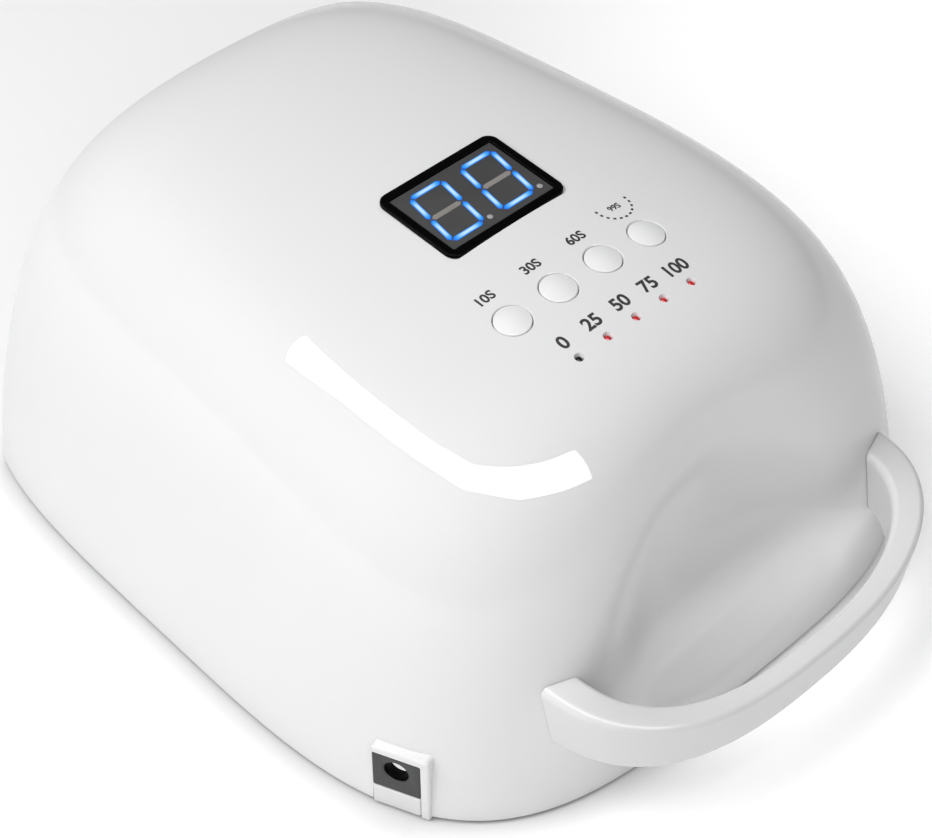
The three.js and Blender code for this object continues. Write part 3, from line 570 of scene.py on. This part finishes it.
shell = fine_dome(320, 110, 4, True)
shell = cut_front(shell)
hood = loft([at_z(round_rect(HOOD_W, 2 * HOOD_TOP - 8, 1.3, 6, i), z) + [HOOD_SHIFT, 4, 0]
             for i, z in soft_edges(-HOOD_DEEP, 0.0, 0.7)[3:]])
hood = facing_out(hood)
shell = boolean(shell, boolean(hood, loft([at_z(round_rect(260, 260, 5), z) for z in (-60, 0.02)])), "UNION")
window = []
for w, h, c, z in [(FACE_W + 0.8, FACE_H + 0.8, 0.3, -12), (FACE_W + 0.8, FACE_H + 0.8, 0.3, -0.85),
                   (DISPLAY_W + 0.4, DISPLAY_H + 0.4, 2.2, -0.85), (DISPLAY_W + 0.4, DISPLAY_H + 0.4, 2.2, 6)]:
    window.append(at_z(round_rect(w, h, c, 8), z))
cutters = [moved(loft(window), display)]
for label, x in BUTTONS:
    r = BUTTON_HOLE_R
    cutters.append(sheared([(0, -8, 0), (r, -8, 0), (r, -0.35, 1), (r + 0.06, -0.17, 1), (r + 0.3, 0.06, 1),
                            (r + 0.9, 0.5, 1), (r + 0.9, 4, 0), (0, 4, 0)], x, PANEL_Y, 64))
for x in LEVEL_XS:
    r = LEVEL_HOLE_R
    cutters.append(sheared([(0, -7, 0), (r, -7, 0), (r, -0.12, 1), (r + 0.12, 0.03, 1), (r + 0.4, 0.3, 1),
                            (r + 0.4, 2, 0), (0, 2, 0)], x, LEVEL_Y, 32))
slot_h = JACK_TOP + 10.3
cutters.append(facing_out(loft([at_z(round_rect(JACK_W + 0.5, slot_h, 0.5, 5), z) + [0, JACK_TOP + 0.3 - slot_h / 2, 0]
                                for z in (-23, 7)])))
shell = boolean(shell, merged(cutters))
piece("shell_top", shell, white, "lamp", ["top_shell"], angle=40, dome_normals=True, weld=0.004)

# ---------- handle ----------
HANDLE_HALF, HANDLE_ROOT_Y, HANDLE_REACH, HANDLE_SQUARE = 55.5, 101.2, 31.0, 2.5
HANDLE_THICK, HANDLE_THIN, HANDLE_TAPER, HANDLE_BOTTOM, HANDLE_TOP = 9.6, 6.0, 1.6, 20.8, 38.1
HANDLE_DROP, HANDLE_DROP_LOW, HANDLE_ROUND, HANDLE_DRAFT = 8.0, 5.8, 2.2, 2.8


def handle_body(steps):
    height = HANDLE_TOP - HANDLE_BOTTOM
    section = round_rect(HANDLE_THICK, height, HANDLE_ROUND, 9)
    rings = []
    for a in np.linspace(0, math.pi, steps + 1):
        c, s = math.cos(a), math.sin(a)
        e = 2 / HANDLE_SQUARE
        x0 = HANDLE_HALF * math.copysign(abs(c) ** e, c)
        y0 = HANDLE_ROOT_Y + HANDLE_REACH * abs(s) ** e
        nx = math.copysign((abs(x0) / HANDLE_HALF) ** (HANDLE_SQUARE - 1) / HANDLE_HALF, c)
        ny = ((y0 - HANDLE_ROOT_Y) / HANDLE_REACH) ** (HANDLE_SQUARE - 1) / HANDLE_REACH
        n = math.hypot(nx, ny)
        nx, ny = nx / n, ny / n
        slim = HANDLE_THIN + (HANDLE_THICK - HANDLE_THIN) * (1 - abs(s) ** HANDLE_TAPER)
        edge = section[:, 0] / (HANDLE_THICK / 2)
        low = 0.5 - section[:, 1] / height
        off = edge * slim / 2 - np.where(edge > 0, HANDLE_DRAFT * low * edge * abs(s) ** 0.5, 0)
        drop = HANDLE_DROP + (HANDLE_DROP_LOW - HANDLE_DROP) * low
        z = HANDLE_TOP - height * low - drop * ((y0 - HANDLE_ROOT_Y) / HANDLE_REACH) ** 2
        rings.append(np.stack([x0 + nx * off, y0 + ny * off, z], -1))
    return loft(rings)


def closed_dome(columns, rows, grow):
    p, along = meridians(columns, grow)
    inner = sample(p, along, list(np.linspace(0, 1, rows)[:-1]))
    rings = [inner[:, 0] * [1, 1, 0] - [0, 0, 5]] + [inner[:, i] for i in range(inner.shape[1])]
    verts = np.concatenate(rings + [[[0, 0, -5], [0, 0, (CROWN + grow) * float(crown_at(0.0, 0.0))]]])
    n = len(rings)
    faces = grid_faces(n, columns)
    for c in range(columns):
        d = (c + 1) % columns
        faces.append((n * columns, d, c))
        faces.append((n * columns + 1, (n - 1) * columns + c, (n - 1) * columns + d))
    return outward((verts, faces))


handle = boolean(handle_body(180), closed_dome(160, 60, 0.14))
piece("handle_grip", handle, handle_white_painted_shade, "lamp", ["handle"], angle=35, weld=0.003)

# ---------- display ----------
piece("display_bezel", moved(ring_slab(DISPLAY_W, DISPLAY_H, DISPLAY_CORNER, FACE_W + 0.2, FACE_H + 0.2, 0.3,
                                       -0.8, 0.4, 0.22), display), black_gloss, "lamp",
      ["display_frame"])
face = slab(FACE_W, FACE_H, 0.35, -8, 0.0, 0.12)
piece("display_face", moved(face, display), display_dark, "lamp", ["display_module"])

DIGIT_H, DIGIT_W, DIGIT_GAP, DIGIT_SLANT, BAR = 18.8, 10.2, 16.6, 0.14, 1.5


def bar(x, y, length, upright):
    """One bar of a digit as rings shrinking towards its middle, with how hot each ring glows."""
    a, b = length / 2, BAR / 2
    hexagon = []
    corners = [(-a, 0), (-a + b, -b), (a - b, -b), (a, 0), (a - b, b), (-a + b, b)]
    for (u, v), (u2, v2) in zip(corners, corners[1:] + corners[:1]):
        for k in np.linspace(0, 1, 7)[:-1]:
            hexagon.append((u + (u2 - u) * k, v + (v2 - v) * k))
    hexagon = np.array(hexagon)
    if upright:
        hexagon = hexagon[:, ::-1] * [1, -1]
    rings, heat = [], []
    for size, z, h in [(1, -0.3, 0), (1, 0.03, 0), (0.96, 0.06, 0.12), (0.8, 0.08, 0.4), (0.55, 0.09, 0.75),
                       (0.3, 0.1, 0.97), (0.08, 0.1, 1.0)]:
        p = hexagon * size + [x, y]
        rings.append(np.column_stack([p[:, 0] + DIGIT_SLANT * p[:, 1], p[:, 1], np.full(len(p), z)]))
        heat += [h] * len(p)
    return loft(rings), heat


half, wide = DIGIT_H / 2 - 0.9, DIGIT_W / 2
turned = Matrix.Rotation(math.pi, 4, "Z")
for name, x in [("digit_tens", DIGIT_GAP / 2), ("digit_units", -DIGIT_GAP / 2)]:
    place = display @ Matrix.Translation((x, 0, 0)) @ turned
    bars = [bar(0, y, DIGIT_W - 0.5, False) for y in (-half, half)]
    bars += [bar(sx * wide, sy * half / 2, half - 0.35, True) for sx in (-1, 1) for sy in (-1, 1)]
    lit = piece(name + "_lit", moved(merged([b[0] for b in bars]), place), segment_lit, "lamp",
                [name], angle=60)
    heat = lit.data.attributes.new("segment_glow", "FLOAT", "POINT")
    heat.data.foreach_set("value", np.array([h for b in bars for h in b[1]], np.float32))
    piece(name + "_middle", moved(bar(0, 0, DIGIT_W - 0.9, False)[0], place), segment_idle, "lamp",
          angle=60)
    dot = lathe([(0, -0.3), (0.75, -0.3), (0.75, 0.02), (0.68, 0.07), (0.4, 0.1), (0, 0.11)], 32)
    spot = Matrix.Translation((wide + 2.3 - DIGIT_SLANT * half, -half + 0.2, 0))
    piece(name + "_point", moved(moved(dot, spot), place), dot_idle, "lamp", angle=60)

# ---------- buttons ----------
for label, x in BUTTONS:
    r = BUTTON_R
    cap = [(0, -3.6, 0), (r + 1.1, -3.6, 0)]
    cap += [(r + 1.2, -3.5, 0), (r + 1.2, -2.95, 0), (r + 1.1, -2.85, 0), (r, -2.85, 0), (r, -0.28, 1)]
    for t in np.linspace(0, 1, 7)[1:]:
        cap.append((r - 0.32 * (1 - math.cos(t * math.pi / 2)), -0.28 + 0.3 * math.sin(t * math.pi / 2), 1))
    edge = cap[-1][0]
    for k in np.linspace(0, 1, 9)[1:]:
        rr = edge * (1 - k)
        cap.append((max(rr, 0.0), 0.02 + 0.62 * (1 - (rr / edge) ** 2), 1))
    cap[-1] = (0, cap[-1][1], 1)
    piece("button_cap_" + label, sheared(cap, x, PANEL_Y, 64), white_key, "key_" + label,
          ["button_" + label], angle=40)

# ---------- battery level lights ----------
for i, x in enumerate(LEVEL_XS):
    r = LEVEL_R
    lens = [(0, -5, 0), (r + 0.25, -5, 0), (r + 0.25, -4.2, 0), (r, -4.2, 0), (r, -1.2, 0)]
    lens += [(r * math.cos(t), -1.2 + 0.85 * math.sin(t), 0) for t in np.linspace(0, math.pi / 2, 9)[1:-1]]
    lens.append((0, -0.35, 0))
    piece(f"level_lens_{i + 1}", sheared(lens, x, LEVEL_Y, 32), dark_lens if i == 0 else red_lens, "lamp",
          [f"level_light_{i + 1}"], angle=50)


# ---------- printed marks ----------
def lettering(text, x, y, size, turn=0.0, bold=0.0):
    """Text laid on the dome around (x, y), read from the handle side, as a thin raised print."""
    curve = bpy.data.curves.new("mark", "FONT")
    curve.body, curve.size, curve.align_x, curve.align_y = text, size, "CENTER", "CENTER"
    curve.offset = bold
    curve.resolution_u = 5
    o = bpy.data.objects.new("mark", curve)
    bpy.context.scene.collection.objects.link(o)
    mesh = bpy.data.meshes.new_from_object(o.evaluated_get(bpy.context.evaluated_depsgraph_get()))
    bpy.data.objects.remove(o)
    verts, faces = to_part(mesh)
    bpy.data.meshes.remove(mesh)
    a = math.pi + turn
    px = x + verts[:, 0] * math.cos(a) - verts[:, 1] * math.sin(a)
    py = y + verts[:, 0] * math.sin(a) + verts[:, 1] * math.cos(a)
    return np.stack([px, py, surface_z(px, py)], -1), faces


def dash(points, width):
    """Short stroke along a line of (x, y) points on the dome."""
    points = np.array(points, float)
    way = unit(np.gradient(points, axis=0))
    side = np.stack([-way[:, 1], way[:, 0]], -1) * width / 2
    ring = np.concatenate([points + side, (points - side)[::-1]])
    return np.stack([ring[:, 0], ring[:, 1], surface_z(ring[:, 0], ring[:, 1])], -1), [tuple(range(len(ring)))]


def raised(parts, name):
    """Flat outlines given a little thickness along the dome's normal."""
    bm = bmesh.new()
    mesh = to_mesh(merged(parts))
    bm.from_mesh(mesh)
    bpy.data.meshes.remove(mesh)
    bmesh.ops.remove_doubles(bm, verts=bm.verts, dist=1e-4)
    bmesh.ops.triangulate(bm, faces=bm.faces)
    normals = unit(slope(np.array([v.co for v in bm.verts])))
    flat = np.array([v.co for v in bm.verts])
    edges = [(e.verts[0].index, e.verts[1].index) for e in bm.edges if e.is_boundary]
    tris = [tuple(v.index for v in f.verts) for f in bm.faces]
    bm.free()
    n = len(flat)
    tris = [t if np.cross(flat[t[1]] - flat[t[0]], flat[t[2]] - flat[t[0]])[2] > 0 else t[::-1] for t in tris]
    way = {}
    for t in tris:
        for i, j in ((t[0], t[1]), (t[1], t[2]), (t[2], t[0])):
            way[(i, j)] = True
    faces = list(tris) + [tuple(i + n for i in t[::-1]) for t in tris]
    for i, j in edges:
        i, j = (i, j) if (i, j) in way else (j, i)
        faces.append((j, i, i + n, j + n))
    verts = np.concatenate([flat + normals * 0.06, flat - normals * 0.12])
    return piece(name, (verts, faces), print_dark, "lamp", angle=40)


for (label, x), text in zip(BUTTONS[:3], ["10S", "30S", "60S"]):
    raised([lettering(text, x, 45.2, 3.8, bold=0.09)], "mark_" + label)
arc_mid, arc_r = (-22.9, 42.2), 4.9
dashes = []
for k in range(11):
    a = math.radians(-4 + 18.8 * k)
    span = np.linspace(a - 0.075, a + 0.075, 4)
    dashes.append(dash([(arc_mid[0] + arc_r * math.cos(t), arc_mid[1] + arc_r * math.sin(t)) for t in span], 0.55))
raised([lettering("99S", -22.9, 43.0, 2.5, bold=0.05)] + dashes, "mark_99s")
for x, text in zip(LEVEL_XS, ["0", "25", "50", "75", "100"]):
    raised([lettering(text, x, 66.7, 5.0, bold=0.13)], "mark_level_" + text)

# ---------- charging socket ----------
body = slab(JACK_W, JACK_TOP - JACK_BOTTOM, 0.5, -14, -0.2, 0.25, 6, 0, (JACK_TOP + JACK_BOTTOM) / 2)
bore = moved(lathe([(0, -10), (JACK_HOLE_R, -10), (JACK_HOLE_R, -0.5), (JACK_HOLE_R + 0.1, -0.32),
                    (JACK_HOLE_R + 0.35, -0.15), (JACK_HOLE_R + 0.35, 2), (0, 2)], 64),
             Matrix.Translation((0, JACK_HOLE_Z, 0)))
piece("socket_housing", facing_out(boolean(body, bore)), socket_grey, "lamp", ["socket_body"])
# Contact ring inside the bore; its glow is a painted glint.
ring = lathe([(0, -4.6), (JACK_HOLE_R - 0.18, -4.6), (JACK_HOLE_R - 0.18, -3.7), (JACK_HOLE_R - 0.25, -3.6),
              (0.5, -3.6), (0, -3.6)], 48)
piece("socket_contact", facing_out(moved(ring, Matrix.Translation((0, JACK_HOLE_Z, 0)))), contact_painted_glint, "lamp")
# Black sleeve lining the bore. It is partly the socket's own dark plastic and partly painted shade that darkens the
# hole.
shade_sleeve = lathe([(0, -9.6), (JACK_HOLE_R - 0.02, -9.6), (JACK_HOLE_R - 0.02, -0.55), (JACK_HOLE_R - 0.12, -0.5),
                (JACK_HOLE_R - 0.14, -0.6), (JACK_HOLE_R - 0.14, -9.4), (0, -9.4)], 64)
piece("socket_shade_sleeve", facing_out(moved(shade_sleeve, Matrix.Translation((0, JACK_HOLE_Z, 0)))), black_gloss, "lamp",
      angle=50)
pin = lathe([(0, -9.9), (1, -9.9), (1, -3.4)] + arc(0.55, -3.4, 0.45, 0, 90, 5) + [(0, -2.95)], 32)
piece("socket_centre_pin", facing_out(moved(pin, Matrix.Translation((0, JACK_HOLE_Z, 0)))), steel, "lamp",
      ["socket_pin"])

# ---------- base ring ----------
BASE_LOW, BASE_TOP, FIT = 0.2, 4.2, 0.3
PLATE_HALF, PLATE_LOW_Y, PLATE_HIGH_Y, PLATE_THICK = 58.0, -68.0, 44.0, 1.2
plate_mid, plate_deep = (PLATE_LOW_Y + PLATE_HIGH_Y) / 2, PLATE_HIGH_Y - PLATE_LOW_Y


def inner_outline(inset, count=360):
    """Outline of the shell's inside at the bench, cut at the front, seen from the middle of the base."""
    a = np.arange(count) * 2 * math.pi / count
    centre = np.array([0.0, plate_mid])
    out = np.empty((count, 2))
    for i, t in enumerate(a):
        lo, hi = 10.0, 160.0
        way = np.array([math.cos(t), math.sin(t)])
        for _ in range(30):
            r = (lo + hi) / 2
            x, y = centre + way * r
            yy = y + float(scoop(x, y, 2.0))
            wide = HALF_WIDTH - inset
            q, reach = outline(yy)
            inside = (abs(x / (wide * (1 + WIDEN * yy / 100))) ** q + abs(yy / (reach - inset)) ** q) < 1
            inside = inside and y > FRONT_CUT + 1.6 + max(0.0, inset - WALL - FIT)
            lo, hi = (r, hi) if inside else (lo, r)
        out[i] = centre + way * lo
    return out


def rect_outline(grow, count=360):
    a = np.arange(count) * 2 * math.pi / count
    w, d = PLATE_HALF + grow, plate_deep / 2 + grow
    r = np.minimum(w / np.maximum(np.abs(np.cos(a)), 1e-9), d / np.maximum(np.abs(np.sin(a)), 1e-9))
    return np.stack([r * np.cos(a), plate_mid + r * np.sin(a)], -1)


edge = 0.4
outside = [at_z(inner_outline(WALL + FIT + i), z) for i, z in soft_edges(BASE_LOW, BASE_TOP, edge, 3)]
step = PLATE_THICK + 0.4
inside = [at_z(rect_outline(-i), z) for i, z in [(-edge, BASE_TOP), (-0.1, BASE_TOP - 0.1), (0, BASE_TOP - edge),
                                                 (0, BASE_LOW + step)]]
inside += [at_z(rect_outline(6.5 if z < 2 else 6.5), z) * [1, 1, 1] for z in (BASE_LOW + step, BASE_LOW + 0.3)]
inside += [at_z(rect_outline(6.8), BASE_LOW)]
base = loft(outside + inside, closed=True)
slot_box = slab(20, HOOD_W + 2 * FIT, 0.5, -10, 10, 0.2, 4)
slot_box = moved(slot_box, jack @ Matrix.Translation((10 - HOOD_DEEP - FIT, HOOD_SHIFT, 0)))
wells = [moved(lathe([(0, -1), (5.2, -1), (5.2, 1.0), (0, 1.0)], 40), Matrix.Translation((x, y, 0)))
         for x, y in [(-75, -58), (75, -58), (-62, 84), (62, 84)]]
wells += [moved(lathe([(0, -1), (3, -1), (3, 1.8), (1.6, 1.8), (1.6, 7), (0, 7)], 32), Matrix.Translation((x, y, 0)))
          for x, y in [(-77, -36), (77, -36), (-75, 59), (75, 59)]]
base = boolean(base, merged([slot_box] + wells))
tab = slab(HOOD_DEEP + 2, JACK_W, 0.5, BASE_LOW, JACK_BOTTOM - FIT, 0.3, 5)
base = boolean(base, moved(tab, jack @ Matrix.Translation((-HOOD_DEEP / 2 - 1, 0, 0))), "UNION")
piece("base_frame", base, white_base, "lamp", ["base_ring"], angle=35, weld=0.003)
plate = slab(2 * PLATE_HALF + 12, plate_deep + 6, 3, BASE_LOW + 0.1, BASE_LOW + 0.1 + PLATE_THICK, 0.3, 8, 0, plate_mid)
piece("mirror_plate", plate, mirror, "floor_plate", ["base_plate"])
for i, (x, y) in enumerate([(-75, -58), (75, -58), (-62, 84), (62, 84)]):
    pad = [(0, -FOOT), (4.2, -FOOT)] + arc(4.4, -FOOT + 0.6, 0.6, -90, 0, 4) + [(5, BASE_LOW + 0.8), (0, BASE_LOW + 0.8)]
    piece(f"foot_pad_{i + 1}", moved(lathe(pad, 40), Matrix.Translation((x, y, 0))), rubber, "lamp",
          [f"foot_{i + 1}"])

# ---------- lining, front face and light boards ----------
LINING, LINING_BACK, FACE_SET, FACE_PLATE = 1.5, 46.0, 1.6, 1.8
ARCH = [(67.0, 4.6), (65.5, 34.0), (41.0, 67.5)]


def arch_line(grow, bend=7.0, steps=7):
    """The arch from the right foot over the top to the left foot, with its four upper corners rounded."""
    right = [(ARCH[0][0] + grow, ARCH[0][1]), (ARCH[1][0] + grow, ARCH[1][1] + grow * 0.3),
             (ARCH[2][0] + grow * 0.5, ARCH[2][1] + grow)]
    corners = np.array(right + [(-x, z) for x, z in right[::-1]])
    points = [corners[0]]
    for i in range(1, 5):
        before, here, after = corners[i - 1], corners[i], corners[i + 1]
        u, v = unit(before - here), unit(after - here)
        p, q = here + u * bend * 0.5, here + v * bend * 0.5
        for t in np.linspace(0, 1, steps):
            points.append(p * (1 - t) ** 2 + here * 2 * t * (1 - t) + q * t ** 2)
    points.append(corners[-1])
    return np.array(points)


def stood(points, y):
    return np.column_stack([points[:, 0], np.full(len(points), float(y)), points[:, 1]])


def lean_y(z, setback):
    return FRONT_CUT + setback + FRONT_LEAN * z


inner_line, outer_line = arch_line(0), arch_line(LINING)
loop = np.concatenate([inner_line, outer_line[::-1]])
front = stood(loop, 0)
front[:, 1] = lean_y(front[:, 2], FACE_SET + 0.2)
rings = [front] + [stood(loop, y) for y in np.linspace(-60, LINING_BACK + LINING, 12)]
lining = loft(rings)
back = loft([stood(inner_line * [1, 1] , y) for y in (LINING_BACK, LINING_BACK + LINING)])
boards = []
slant = math.atan2(ARCH[2][1] - ARCH[1][1], ARCH[1][0] - ARCH[2][0])
middle = ((ARCH[1][0] + ARCH[2][0]) / 2, (ARCH[1][1] + ARCH[2][1]) / 2)
rows = [-36, -12, 12, 36]
boards.append(("uv_board_top", (0, -12, ARCH[2][1]), ("X", math.pi), 74, 96, [(x, y) for x in (-26, 0, 26) for y in rows]))
for side, label in [(1, "socket"), (-1, "plain")]:
    boards.append((f"uv_board_side_{label}", (side * middle[0], -12, middle[1]), ("Y", side * (slant - math.pi)), 32, 96,
                   [(x, y) for x in (-8, 8) for y in rows]))
boards.append(("uv_board_back", (0, LINING_BACK, 44), ("X", math.pi / 2), 66, 24, [(x, 0) for x in (-24, 0, 24)]))
holes = []
for name, at, (axis, turn), w, d, beads in boards:
    m = Matrix.Translation(at) @ Matrix.Rotation(turn, 4, axis)
    for x, y in beads:
        holes.append(moved(lathe([(0, -4), (2.55, -4), (2.55, -0.3), (2.8, 0.02), (2.8, 2), (0, 2)], 40),
                           m @ Matrix.Translation((x, y, 0))))
    low = -LINING - 0.15
    plate = slab(w, d, 1.0, low - 1.2, low, 0.2, 4)
    domes = [moved(lathe([(0, low - 0.35), (2.2, low - 0.35), (2.2, -0.1)] +
                         [(2.2 * math.cos(t), -0.1 + 0.7 * math.sin(t)) for t in np.linspace(0, math.pi / 2, 8)[1:-1]] +
                         [(0, 0.6)], 32), Matrix.Translation((x, y, 0))) for x, y in beads]
    piece(name + "_plate", moved(plate, m), light_board, "lamp", [name])
    piece(name + "_beads", moved(merged(domes), m), bead_lens, "lamp", angle=50)
eyes = [(-5, "emitter", eye_clear), (5, "receiver", black_plastic)]
for x, label, look in eyes:
    holes.append(moved(lathe([(0, -3), (2.8, -3), (2.8, 5), (0, 5)], 40), Matrix.Translation((x, -66, ARCH[2][1]))))
    eye = [(0, -1.2)] + [(2.5 * math.sin(t), 0.6 - 1.8 * math.cos(t)) for t in np.linspace(0, math.pi / 2, 9)[1:]]
    eye += [(2.5, 3.2), (3.1, 3.2), (3.1, 4.2), (0, 4.2)]
    rise = ARCH[2][1] + LINING + 0.15 - 3.2 + 0.1
    piece("sensor_" + label, moved(lathe(eye, 40), Matrix.Translation((x, -66, rise))), look, "lamp",
          ["hand_sensor_" + label], angle=50)
lining = boolean(boolean(lining, back, "UNION"), merged(holes))


def front_face(steps=160):
    """The plate that closes the front between the arch and the shell, lying along the leaning plane."""
    inner = arch_line(0.02)
    gaps = np.concatenate([[0], np.cumsum(np.linalg.norm(np.diff(inner, axis=0), axis=1))])
    s = np.linspace(0, gaps[-1], steps)
    inner = np.stack([np.interp(s, gaps, inner[:, 0]), np.interp(s, gaps, inner[:, 1])], -1)
    centre = np.array([0.0, BASE_TOP + FIT])
    rings = []
    for i, p in enumerate(inner):
        way = p - centre
        if i in (0, steps - 1):
            way = np.array([math.copysign(1, p[0]), 0.0])
        way = way / np.linalg.norm(way)
        lo, hi = 0.0, 90.0
        for _ in range(30):
            r = (lo + hi) / 2
            q = p + way * r
            y = lean_y(q[1], FACE_SET)
            inside = field(np.array([q[0], y, q[1]])) < 0
            if inside:
                g = slope(np.array([q[0], y, q[1]]))
                inside = field(np.array([q[0], y, q[1]])) / np.linalg.norm(g) < -(WALL + FIT)
            lo, hi = (r, hi) if inside else (lo, r)
        outer = p + way * lo
        section = [(0.0, 0.3), (0.3, 0.0), (lo - 0.3, 0.0), (lo, 0.3), (lo, FACE_PLATE), (0.0, FACE_PLATE)]
        rings.append(np.array([[p[0] + way[0] * a, lean_y(p[1] + way[1] * a, FACE_SET + b), p[1] + way[1] * a]
                               for a, b in section]))
    return loft(rings)


piece("lining_body", lining, foil, "lamp", ["reflector_lining"], angle=30, weld=0.003)
piece("lining_face", front_face(), foil, "lamp", angle=30)

# ---------- stage, lights and camera ----------


def stage_mesh(name, verts, faces, look):
    mesh = bpy.data.meshes.new(name)
    mesh.from_pydata([tuple(v) for v in verts], [], faces)
    mesh.materials.append(look)
    o = bpy.data.objects.new(name, mesh)
    bpy.context.scene.collection.objects.link(o)
    return o


def glowing(name, colour, strength):
    m = bpy.data.materials.new(name)
    m.use_nodes = True
    m.node_tree.nodes.clear()
    e = m.node_tree.nodes.new("ShaderNodeEmission")
    e.inputs["Color"].default_value = (*colour, 1)
    e.inputs["Strength"].default_value = strength
    out = m.node_tree.nodes.new("ShaderNodeOutputMaterial")
    m.node_tree.links.new(e.outputs["Emission"], out.inputs["Surface"])
    return m


# Floor: a white table with an emitted glow that fades across it, faint on the key light's side and strong on the far
# side where the lamp's own shadow falls. That glow is painted light that lifts the shadow.
floor_look = material("table", (0.93, 0.93, 0.93), 0.9, vary=0.003, scale=3, specular=0.0, glow=True, glow_power=0.27)
t = floor_look.node_tree
where = t.nodes.new("ShaderNodeTexCoord")
across = t.nodes.new("ShaderNodeVectorMath")
across.operation = "DOT_PRODUCT"
across.inputs[1].default_value = (-0.72, 0.69, 0)
painted_glow_fade = t.nodes.new("ShaderNodeMapRange")
painted_glow_fade.interpolation_type = "SMOOTHSTEP"
painted_glow_fade.inputs["From Min"].default_value, painted_glow_fade.inputs["From Max"].default_value = -0.05, 0.12
painted_glow_fade.inputs["To Min"].default_value, painted_glow_fade.inputs["To Max"].default_value = 0.03, 0.30
t.links.new(where.outputs["Object"], across.inputs[0])
t.links.new(across.outputs["Value"], painted_glow_fade.inputs["Value"])
# Ambient occlusion darkens the floor's colour and glow next to the lamp as a painted contact shadow.
near = t.nodes.new("ShaderNodeAmbientOcclusion")
near.samples = 12
near.inputs["Distance"].default_value = 0.011
painted_contact_shadow = t.nodes.new("ShaderNodeMapRange")
painted_contact_shadow.inputs["To Min"].default_value = 0.3
t.links.new(near.outputs["AO"], painted_contact_shadow.inputs["Value"])
tint = t.nodes["Principled BSDF"].inputs["Base Color"].links[0]
shade = t.nodes.new("ShaderNodeVectorMath")
shade.operation = "SCALE"
t.links.new(tint.from_socket, shade.inputs[0])
t.links.new(painted_contact_shadow.outputs["Result"], shade.inputs["Scale"])
t.links.new(shade.outputs["Vector"], t.nodes["Principled BSDF"].inputs["Base Color"])
painted_glow_strength = t.nodes.new("ShaderNodeMath")
painted_glow_strength.operation = "MULTIPLY"
t.links.new(painted_glow_fade.outputs["Result"], painted_glow_strength.inputs[0])
t.links.new(painted_contact_shadow.outputs["Result"], painted_glow_strength.inputs[1])
t.links.new(painted_glow_strength.outputs["Value"], t.nodes["Principled BSDF"].inputs["Emission Strength"])
floor = stage_mesh("floor", [(-6, -6, 0), (6, -6, 0), (6, 6, 0), (-6, 6, 0)], [(0, 1, 2, 3)], floor_look)
# bent strip light overhead, seen only as the sharp reflection along the shoulder
near_edge = [(0.15, -0.575), (0.19, -0.42), (0.29, -0.11), (0.33, 0.21), (0.17, 0.475), (0.0, 0.66), (-0.2, 0.79)]
far_edge = [(0.515, -0.69), (0.445, -0.46), (0.54, -0.1), (0.62, 0.35), (0.37, 1.01), (-0.015, 1.48), (-0.48, 1.92)]
STRIP_Z = 1.0
verts = [(x, y, STRIP_Z) for x, y in near_edge] + [(x, y, STRIP_Z) for x, y in far_edge]
strip = stage_mesh("strip_card", verts, [(i, i + 1, i + 8, i + 7) for i in range(6)], glowing("strip", (1, 1, 1), 14.0))
strip.visible_camera = False
strip.visible_diffuse = False
strip.visible_shadow = False


def area(name, where, aim, w, h, power):
    data = bpy.data.lights.new(name, "AREA")
    data.shape, data.size, data.size_y, data.energy = "RECTANGLE", w, h, power
    o = bpy.data.objects.new(name, data)
    o.location = where
    o.rotation_euler = (Vector(aim) - Vector(where)).to_track_quat("-Z", "Y").to_euler()
    o.visible_camera = False
    o.visible_glossy = False
    bpy.context.scene.collection.objects.link(o)
    return o


area("key", (0.9, -0.3, 1.2), (0, 0, 0), 1.0, 1.0, 16.2)
area("overhead", (0.0, -0.1, 1.6), (0, 0, 0), 1.6, 1.6, 9.5)
area("corner_fill", (0.8, 0.9, 0.9), (0, 0, 0.05), 1.0, 1.0, 6.4)
world = bpy.data.worlds.new("studio")
bpy.context.scene.world = world
world.use_nodes = True
world.node_tree.nodes["Background"].inputs["Color"].default_value = (1, 1, 1, 1)
world.node_tree.nodes["Background"].inputs["Strength"].default_value = 0.06

camera = bpy.data.objects.new("camera", bpy.data.cameras.new("camera"))
bpy.context.scene.collection.objects.link(camera)
bpy.context.scene.camera = camera
camera.data.sensor_fit, camera.data.sensor_width, camera.data.lens = "HORIZONTAL", 36.0, 94.08
camera.data.clip_start, camera.data.clip_end = 0.05, 20.0
azimuth, elevation, roll = math.radians(136.388), math.radians(43.426), math.radians(-0.689)
back = Vector((math.sin(azimuth) * math.cos(elevation), -math.cos(azimuth) * math.cos(elevation), math.sin(elevation)))
right = (-back).cross(Vector((0, 0, 1))).normalized()
up = right.cross(-back)
right, up = right * math.cos(roll) + up * math.sin(roll), up * math.cos(roll) - right * math.sin(roll)
m = Matrix((right, up, back)).transposed().to_4x4()
m.translation = Vector((0.004829, -0.007658, 0.0308)) + back * 0.621426
camera.matrix_world = m

scene = bpy.context.scene
scene.view_settings.view_transform = "Standard"
scene.cycles.max_bounces = 8
